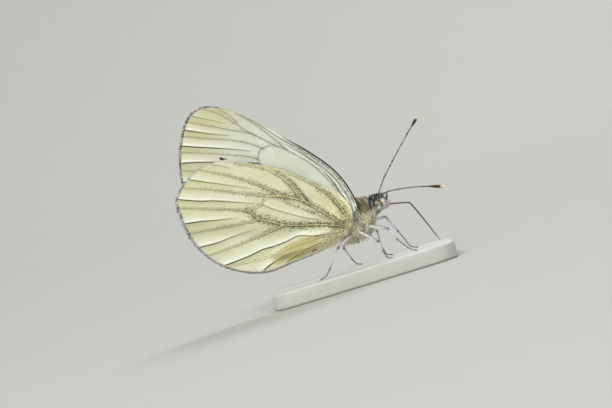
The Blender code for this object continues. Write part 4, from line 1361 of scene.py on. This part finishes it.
def tubeParts(name, parts, material, sides, slot, *nodes, shade=0.0):
    # round limbs joined in one mesh; parts are (path, radii, tint rows), each with its own strip of the map.
    # shade darkens their upper side
    points, faces, tints, spread, alongs, ways = [], [], [], [], [], []
    for number, (path, radii, tint) in enumerate(parts):
        faces += bandFaces(len(path), sides, len(points)) + capFaces(len(path), sides, len(points))
        ahead = unit(np.gradient(path, axis=0))
        aside = np.cross(ahead[0], (0.0, 0.0, 1.0) if abs(ahead[0][2]) < 0.9 else (1.0, 0.0, 0.0))
        run = measure(path)[1]
        for k, way in enumerate(ahead):
            aside = aside - way * (aside @ way)
            aside /= np.linalg.norm(aside)
            over = np.cross(way, aside)
            along = run[k] / run[-1]
            for i in range(sides):
                turn = 2 * math.pi * i / sides
                out = aside * math.cos(turn) + over * math.sin(turn)
                points.append(path[k] + out * radii[k])
                tints.append(tint[k] * (1 - shade * blend(out[2], 0.4, 0.8)))
                spread.append(((number + 0.08 + 0.8 * i / sides) / len(parts), 0.02 + 0.96 * along))
            alongs += [along] * sides
            ways += [way] * sides
    obj = newMesh(name, place(points), faces, material)
    mesh = obj.data
    mesh.set_sharp_from_angle(angle=math.radians(60))
    setTint(mesh, tints)
    setFloats(mesh, along=np.array(alongs))
    spread = np.array(spread)[cornerPoints(mesh)]
    mendSeam(mesh, spread[:, 0], 0.8 / len(parts))
    setMap(mesh, spread)
    dress(obj, slot, *nodes)
    return obj, np.array(alongs), np.array(ways)


def limbMaterial(name, roughness=0.5, grain=0.3):
    tree = Tree(name)
    where = tree.place()
    fine = tree.noise(where, 15000.0, 3.0)
    tree.paint(tree.ramp(tree.noise(where, 3500.0), 0.40, 0.68, 0.0, grain), (0.16, 0.12, 0.12))
    tree.paint(tree.ramp(fine, 0.42, 0.7, 0.0, grain), (0.75, 0.72, 0.72))
    tree.bump(fine, 0.4, 0.00002)
    return tree.finish(roughness, Specular_IOR_Level=0.4)


palp = {
    "route": [(9.42, 0.30, 6.12), (9.94, 0.34, 6.80), (10.32, 0.36, 7.52)],
    "radius": [(0.0, 0.12), (0.35, 0.135), (0.7, 0.085), (0.95, 0.05), (1.0, 0.02)],
    "colours": [(0.0, srgb(230, 220, 222)), (0.15, srgb(190, 178, 182)), (0.35, srgb(48, 36, 46)),
                (1.0, srgb(16, 10, 16))],
    "hairs": {"perArea": 210, "seed": 31, "stand": 0.6, "length": 0.34, "spread": 0.22},
}


def makePalps():
    parts = []
    for sign in (-1, 1):
        path = evenly(smoothCurve(np.array(palp["route"]) * (1, sign, 1), 10), 0.045)
        parts.append((path, atShares(palp["radius"], len(path)), atShares(palp["colours"], len(path))))
    obj, along, ways = tubeParts("palps", parts, limbMaterial("palpSkin"), 16, "palp", "palp_left",
                                 "palp_right")
    hairs = tuftBox("palpHair", hairMesh, *[(1, 0.036, 0.0, bend, 4) for bend in (0.05, -0.1, 0.15)])
    look = coatMaterial("palpHairLook", 0.1, 0.12, 0.4, 0.6)
    growCoat("palpHairs", obj, "palp", hairs, look, palp["hairs"], 1 - 0.4 * along,
             ways * 0.9 + np.array([0.3, 0.0, -0.1]), longer=-0.10 * along, upright=-0.3 * along)
    print("palps made")


feeler = {
    "routes": {
        "Left": [(9.10, 0.30, 7.35), (10.37, 0.95, 9.13), (11.95, 1.75, 10.78), (13.73, 2.70, 12.49),
                 (15.14, 3.50, 13.82), (15.75, 3.85, 14.35)],
        "Right": [(9.10, -0.30, 7.15), (10.11, -1.15, 7.64), (11.49, -2.45, 7.66), (12.95, -3.80, 7.48),
                  (14.37, -5.15, 7.20), (15.40, -6.12, 6.94)],
    },
    "clubs": {
        "Left": [(15.75, 3.85, 14.35), (16.15, 4.10, 14.70), (16.60, 4.37, 15.10)],
        "Right": [(15.40, -6.12, 6.94), (16.15, -6.80, 6.72), (16.86, -7.43, 6.52)],
    },
    "joints": 34,
    "clubJoints": 9,
    "radius": [(0.0, 0.15), (0.035, 0.14), (0.05, 0.10), (0.5, 0.086), (0.86, 0.092), (1.0, 0.115)],
    "clubRadius": [(0.0, 0.12), (0.18, 0.165), (0.45, 0.20), (0.8, 0.195), (0.93, 0.17), (1.0, 0.10)],
    "profile": [(0.0, 0.7), (0.07, 0.9), (0.5, 0.96), (0.82, 1.0), (0.94, 0.93), (1.0, 0.72)],
    "sides": 12,
}


def beadMesh():
    # one joint of a feeler, of unit length and radius, a little wider towards its far end
    sides, profile = feeler["sides"], feeler["profile"]
    points, share = [(0.0, 0.0, -0.5)], [0.0]
    for t, radius in profile:
        points += ringPoints(sides, radius, t * 1.04 - 0.5)
        share += [t] * sides
    points.append((0.0, 0.0, 0.54))
    share.append(1.0)
    faces = latheFaces(len(profile), sides, True)
    return prototype("feelerJoint", points, faces, share, [(0.5, 0.5)] * len(points))


def beadWeb():
    web = Web("feelerJoints", {
        "Joint": ("Object", None), "Joints": ("Int", 30), "Length": ("Float", 0.0003),
        "Look": ("Material", None)})
    entry = web.entry
    line = web.add("GeometryNodeMeshToCurve", Mesh=entry["Geometry"]).outputs["Curve"]
    line = web.add("GeometryNodeResampleCurve", Curve=line, Count=entry["Joints"]).outputs["Curve"]
    turn = web.align("Z", web.add("GeometryNodeInputTangent").outputs["Tangent"])
    width = web.times(web.read("size"), mm)
    size = web.add("ShaderNodeCombineXYZ", X=width, Y=width, Z=entry["Length"]).outputs["Vector"]
    joint = web.add("GeometryNodeObjectInfo", Object=entry["Joint"]).outputs["Geometry"]
    beads = web.add("GeometryNodeInstanceOnPoints", Points=line, Instance=joint, Rotation=turn, Scale=size)
    return web.close(beads.outputs["Instances"])


def beadLine(name, web, path, radii, joints, joint, look, slot, node):
    fine = evenly(smoothCurve(path, 12), 0.05)
    mesh = lineMesh(name, [fine])
    setFloats(mesh, size=atShares(radii, len(fine)), share=np.linspace(0.0, 1.0, len(fine)))
    length = measure(fine)[0].sum() * mm / (joints - 1)
    obj = web.grow(mesh, name, keep=("blade", "share"), Joint=joint, Joints=joints, Length=length, Look=look)
    dress(obj, slot, node)


def shaftMaterial():
    tree = Tree("feelerRings", srgb(14, 10, 16))
    where = tree.place()
    grain = tree.noise(where, 12000.0)
    tree.paint(tree.ramp(grain, 0.35, 0.65), srgb(38, 30, 38))
    worn = tree.ramp(tree.noise(where, 3000.0, 1.0), 0.38, 0.52)
    tree.paint(tree.times(tree.fall(tree.attribute("blade"), 0.34, 0.46), worn), srgb(222, 214, 226))
    tree.bump(grain, 0.4, 0.00001)
    return tree.finish(0.45, Specular_IOR_Level=0.4)


def clubMaterial():
    tree = Tree("clubTip", srgb(22, 17, 18))
    share, grain = tree.attribute("share"), tree.noise(tree.place(), 12000.0)
    tree.paint(tree.ramp(share, 0.1, 0.6), srgb(70, 46, 28))
    tree.paint(tree.ramp(grain, 0.35, 0.65, 0.0, 0.4), srgb(104, 74, 40))
    tree.paint(tree.fall(tree.attribute("blade"), 0.0, 0.12, 0.4), srgb(90, 76, 64))
    tree.paint(tree.ramp(share, 0.68, 0.82), srgb(242, 218, 184))
    tree.bump(grain, 0.4, 0.00001)
    return tree.finish(0.5, Specular_IOR_Level=0.35)


def makeFeelers():
    shaftLook, clubLook = shaftMaterial(), clubMaterial()
    web, joint = beadWeb(), beadMesh()
    for side in ("Left", "Right"):
        beadLine("feeler" + side, web, feeler["routes"][side], feeler["radius"], feeler["joints"], joint,
                 shaftLook, "feeler", "antenna_" + side.lower())
        beadLine("club" + side, web, feeler["clubs"][side], feeler["clubRadius"], feeler["clubJoints"],
                 joint, clubLook, "club", "club_" + side.lower())
    print("feelers made")


tongue = {
    "route": [(9.55, -0.02, 6.34), (11.23, -0.05, 5.97), (12.30, -0.10, 5.72), (12.58, -0.115, 5.60),
              (12.74, -0.12, 5.32), (13.22, -0.14, 4.24), (13.78, -0.16, 2.86), (14.80, -0.20, 0.22)],
    "radius": [(0.0, 0.125), (0.1, 0.12), (0.45, 0.115), (0.9, 0.085), (1.0, 0.05)],
    "colours": [(0.0, srgb(74, 34, 38)), (0.28, srgb(74, 34, 38)), (0.36, srgb(12, 8, 12)),
                (0.7, srgb(12, 8, 12)), (0.85, srgb(44, 30, 24)), (1.0, srgb(120, 78, 46))],
    "rings": 0.055,
}


def makeTongue():
    # two half pipes side by side, with fine rings along them
    path = evenly(smoothCurve(tongue["route"], 24), tongue["rings"] / 3)
    radii, tint = atShares(tongue["radius"], len(path)), atShares(tongue["colours"], len(path))
    ripple = 1 + 0.05 * np.cos(2 * math.pi * np.arange(len(path)) / 3)
    parts = [(path + np.array([0.0, 1.0, 0.0]) * (sign * radii * 0.42)[:, None], radii * 0.74 * ripple, tint)
             for sign in (-1, 1)]
    tubeParts("proboscis", parts, limbMaterial("proboscisSkin", 0.35, 0.15), 12, "proboscis",
              "proboscis_upper", "proboscis_lower")
    print("proboscis made")


legs = {
    # hip, knee, ankle, the foot's bend and the toe's end
    "frontRight": [(6.90, -0.55, 4.45), (9.20, -1.75, 3.45), (9.86, -2.25, 1.88), (10.95, -2.75, 0.42),
                   (11.61, -3.05, 0)],
    "frontLeft": [(7.30, 0.55, 4.75), (9.35, 1.70, 4.78), (10.38, 2.20, 2.54), (11.25, 2.60, 0.45),
                  (12.00, 2.90, 0)],
    "middleRight": [(5.80, -0.70, 4.10), (7.61, -2.35, 2.32), (7.78, -3.00, 1.05), (8.05, -3.30, 0.30),
                    (8.55, -3.60, 0)],
    "middleLeft": [(6.30, 0.70, 4.20), (7.90, 2.05, 3.45), (7.86, 2.75, 1.49), (8.20, 3.20, 0.38),
                   (8.85, 3.50, 0)],
    "hindRight": [(4.60, -0.70, 3.95), (2.75, -2.10, 2.98), (1.07, -2.95, 0.89), (0.45, -3.30, 0.28),
                  (-0.25, -3.65, 0)],
    "hindLeft": [(4.60, 0.70, 3.95), (3.44, 2.15, 2.65), (4.05, 2.95, 0.95), (4.40, 3.30, 0.30),
                 (4.95, 3.70, 0)],
}
leg = {
    "sides": 18,
    "femur": [(0.0, 0.19), (0.3, 0.185), (0.75, 0.14), (0.95, 0.115), (1.0, 0.08)],
    "shin": [(0.0, 0.075), (0.05, 0.105), (0.3, 0.088), (0.85, 0.082), (0.97, 0.10), (1.0, 0.07)],
    "foot": 0.080,
    "footEnd": 0.060,
    "footJoints": 5,
    "claw": 0.24,
    "clawRadius": (0.034, 0.006),
}
legShades = {
    "white": srgb(254, 251, 252), "lilac": srgb(216, 204, 230), "purple": srgb(112, 82, 110),
    "dark": srgb(26, 20, 28), "sole": srgb(104, 76, 88), "toe": srgb(84, 62, 66), "horn": srgb(60, 40, 30),
}
legBands = {
    "femur": ((0.0, "white"), (0.6, "white"), (0.88, "lilac"), (0.96, "dark"), (1.0, "dark")),
    "shin": ((0.0, "dark"), (0.07, "lilac"), (0.3, "white"), (0.8, "lilac"), (0.95, "purple"), (1.0, "dark")),
    "foot": ((0.0, "lilac"), (0.12, "purple"), (0.5, "sole"), (1.0, "toe")),
    "claw": ((0.0, "dark"), (1.0, "horn")),
}


legCoat = {
    "femurScales": {"perArea": 210, "seed": 41, "stand": 0.2, "length": 0.13, "spread": 0.18},
    "femurHairs": {"perArea": 34, "seed": 42, "stand": 0.6, "length": 0.36},
    "shinScales": {"perArea": 230, "seed": 43, "stand": 0.25, "length": 0.12, "spread": 0.2},
    "shinSpines": {"perArea": 26, "seed": 44, "stand": 0.7, "length": 0.15, "spread": 0.1},
    "footSpines": {"perArea": 90, "seed": 45, "stand": 0.5, "length": 0.075, "spread": 0.15},
}


def legTint(part, count):
    return atShares([(share, legShades[shade]) for share, shade in legBands[part]], count)


def legTube(part, a, b, sag):
    a, b = np.array(a), np.array(b)
    path = evenly(smoothCurve([a, (a + b) / 2 + np.array([0.0, 0.0, sag]), b], 12), 0.05)
    return path, atShares(leg[part], len(path)), legTint(part, len(path))


def footTube(ankle, ball, toe):
    # a row of joints, each flaring towards its end, with the last one flat on the ground
    ball = (ball[0], ball[1], max(ball[2], 0.2))
    ground = (toe[0], toe[1], leg["footEnd"])
    path = evenly(smoothCurve([ankle, tuple((np.array(ankle) + ball) / 2), ball, ground], 12), 0.028)
    t = np.linspace(0.0, 1.0, len(path)) * leg["footJoints"]
    inside = t - np.floor(np.minimum(t, leg["footJoints"] - 1e-6))
    flare = 0.80 + 0.24 * np.clip(inside, 0, 1) ** 0.8 - 0.18 * smoothStep((inside - 0.9) / 0.1)
    taper = np.linspace(leg["foot"], leg["footEnd"], len(path))
    return path, taper * flare, legTint("foot", len(path))


def clawTubes(foot):
    ahead = foot[-1] - foot[-6]
    ahead[2] = 0.0
    ahead /= np.linalg.norm(ahead)
    aside = np.array([-ahead[1], ahead[0], 0.0])
    root = foot[-1] - ahead * 0.03
    for sign in (-1, 1):
        hook = [root, root + ahead * 0.11 + aside * sign * 0.06 + (0, 0, 0.035),
                root + ahead * leg["claw"] * 0.85 + aside * sign * 0.09 + (0, 0, -0.052)]
        hook = evenly(smoothCurve(hook, 8), 0.02)
        yield hook, np.linspace(*leg["clawRadius"], len(hook)), legTint("claw", len(hook))


def makeLegs():
    femora, shins, feet, claws = [], [], [], []
    for hip, knee, ankle, ball, toe in legs.values():
        femora.append(legTube("femur", hip, knee, 0.05))
        shins.append(legTube("shin", knee, ankle, 0.0))
        feet.append(footTube(ankle, ball, toe))
        claws += clawTubes(feet[-1][0])
    look = limbMaterial("legSkin", 0.5, 0.2)
    tubes = []
    for name, parts, slot, stem, shade in (("femora", femora, "femur", "femur", 0.75),
                                           ("shins", shins, "shin", "tibia", 0.5),
                                           ("feet", feet, "foot", "tarsus", 0.0)):
        pairs = [(pair, side) for pair in ("front", "middle", "hind") for side in ("left", "right")]
        nodes = [f"{stem}_{pair}_{side}" for pair, side in pairs]
        tubes.append(tubeParts(name, parts, look, leg["sides"], slot, *nodes, shade=shade))
    (femur, femurAlong, femurWays), (shin, shinAlong, shinWays), (foot, _, footWays) = tubes
    tubeParts("claws", claws, limbMaterial("clawHorn", 0.3, 0.1), 8, "foot")
    plates = tuftBox("legPlate", scaleMesh, (0.5, 0.08, 0.08), (0.38, 0.08, 0.14))
    hairs = tuftBox("legHair", hairMesh, *[(1, 0.05, 0.0, bend) for bend in (0.05, 0.2, -0.12)])
    scaly = coatMaterial("legScaleLook", 0.0, 0.2, 0.1, 0.35)
    for name, skin, slot, tufts, density, lie, longer in (
            ("femurScales", femur, "femur", plates, 1.0, femurWays, 0.0),
            ("femurHairs", femur, "femur", hairs, 1 - 0.7 * femurAlong,
             femurWays + np.array([0.0, 0.0, -0.4]), -0.18 * femurAlong),
            ("shinScales", shin, "shin", plates, 1.0, shinWays, 0.0),
            ("shinSpines", shin, "shin", hairs, 0.3 + 0.7 * shinAlong, shinWays, 0.04 * shinAlong),
            ("footSpines", foot, "foot", hairs, 1.0, footWays, 0.0)):
        growCoat(name, skin, slot, tufts, scaly, legCoat[name], density, lie, longer)
    print("legs made")


def standRing(left, right, half, radius, reach, z):
    # a rounded rectangle: four corners that turn about their own middles
    ring = []
    for cx, cy, start in ((right, half, 0), (left, half, 90), (left, -half, 180), (right, -half, 270)):
        mx = cx - math.copysign(radius, cx - (left + right) / 2)
        my = cy - math.copysign(radius, cy)
        for step in range(stand["cornerSteps"] + 1):
            turn = math.radians(start + 90 * step / stand["cornerSteps"])
            ring.append((mx + reach * math.cos(turn), my + reach * math.sin(turn), z))
    return ring


def standMaterial():
    tree = Tree("standPaint", stand["colour"])
    spot = tree.place()
    grain = tree.noise(spot, 900.0, 4.0, 0.6)
    dull, dark = (tuple(c * share for c in stand["colour"]) for share in (0.94, 0.9))
    tree.paint(tree.ramp(grain, 0.3, 0.7), dull)
    tree.paint(tree.ramp(tree.noise(spot, 70.0), 0.35, 0.7, 0.0, 0.35), dark)
    tree.bump(grain, 0.12, 0.00005)
    return tree.finish(tree.ramp(grain, 0.2, 0.8, stand["roughness"] - 0.05, stand["roughness"] + 0.1))


def makeStand():
    radius, bevel, steps = stand["corner"], stand["bevel"], stand["bevelSteps"]
    rings = []
    for step in range(2 * steps + 2):
        # up the bevel at the foot, then over the one at the top
        turn = math.pi / 2 * (step % (steps + 1)) / steps
        near, far = bevel * (1 - math.sin(turn)), bevel * (1 - math.cos(turn))
        inset, z = (near, far - stand["thickness"]) if step <= steps else (far, -near)
        rings.append(standRing(*stand["length"], stand["halfWidth"], radius, radius - inset, z))
    count = len(rings[0])
    points = [point for ring in rings for point in ring]
    faces = bandFaces(len(rings), count) + capFaces(len(rings), count)
    obj = newMesh("standBase", place(points), faces, standMaterial())
    obj.data.set_sharp_from_angle(angle=math.radians(50))
    dress(obj, "stand", "stand_base")
    print("stand made")


stage = {"flat": 0.48, "bend": 0.5, "wall": 0.9, "steps": 16, "sides": 96, "colour": srgb(188, 189, 184),
         "below": 0.00002}


def makeStage():
    # a round floor that curves up into a wall, so that no edge shows behind the model
    profile = [(0.12, 0.0), (0.3, 0.0), (stage["flat"], 0.0)]
    for step in range(1, stage["steps"] + 1):
        turn = math.pi / 2 * step / stage["steps"]
        profile.append((stage["flat"] + stage["bend"] * math.sin(turn), stage["bend"] * (1 - math.cos(turn))))
    profile.append((stage["flat"] + stage["bend"], stage["wall"]))
    points = [(0.0, 0.0, 0.0)]
    for radius, z in profile:
        points += ringPoints(stage["sides"], radius, z)
    faces = latheFaces(len(profile), stage["sides"], False)
    material = Tree("stagePaint", stage["colour"]).finish(0.85, Specular_IOR_Level=0.15)
    floor = newMesh("stageFloor", np.array(points) - np.array([0.0, 0.0, stage["below"]]), faces, material)


lights = {
    # name: (azimuth, elevation, distance, size, watts, colour)
    "key": (-26, 37, 0.9, 0.42, 4.7, (1.0, 0.985, 0.95)),
    "fill": (36, 5, 0.9, 0.6, 3.7, (0.96, 0.98, 1.0)),
    "back": (162, 42, 0.9, 0.4, 3.0, (1.0, 1.0, 0.98)),
    "top": (0, 88, 0.9, 0.6, 1.3, (1.0, 1.0, 1.0)),
}
sky = {"colour": (0.92, 0.96, 1.0, 1.0), "strength": 0.48}
view = {
    # the middle of the picture in the drawing, millimetres, and how wide the picture is there
    "aim": (0.646, 0.0, 9.09),
    "width": 73.44,
    "distance": 360.0,
    "elevation": 1.6,
    "roll": 17.0,
    "sensor": 36.0,
}


def wayTo(azimuth, elevation):
    a, e = math.radians(azimuth), math.radians(elevation)
    return Vector((math.sin(a) * math.cos(e), -math.cos(a) * math.cos(e), math.sin(e)))


def makeLightsAndCamera():
    aim = Vector(place([view["aim"]])[0])
    for name, (azimuth, elevation, distance, size, watts, colour) in lights.items():
        data = bpy.data.lights.new(name, "AREA")
        data.shape, data.size, data.energy, data.color = "DISK", size, watts, colour
        obj = addObject(name, data)
        away = wayTo(azimuth, elevation)
        obj.location = aim + away * distance
        obj.rotation_euler = away.to_track_quat("Z", "Y").to_euler()
    scene.world = bpy.data.worlds.new("studio")
    scene.world.use_nodes = True
    background = scene.world.node_tree.nodes["Background"]
    background.inputs["Color"].default_value = sky["colour"]
    background.inputs["Strength"].default_value = sky["strength"]
    data = bpy.data.cameras.new("camera")
    data.sensor_width = view["sensor"]
    data.lens = view["sensor"] * view["distance"] / view["width"]
    data.clip_start, data.clip_end = 0.01, 10.0
    camera = addObject("camera", data)
    away = wayTo(0, view["elevation"])
    camera.location = aim + away * view["distance"] * mm
    camera.rotation_mode = "QUATERNION"
    roll = Matrix.Rotation(math.radians(-view["roll"]), 3, away).to_quaternion()
    camera.rotation_quaternion = roll @ away.to_track_quat("Z", "Y")
    scene.camera = camera
    scene.view_settings.view_transform = "Standard"
    print("camera and lights made")


makeStage()
makeLightsAndCamera()
makeStand()
makeWings()
makeBody()
makeEyes()
makePalps()
makeFeelers()
makeTongue()
makeLegs()
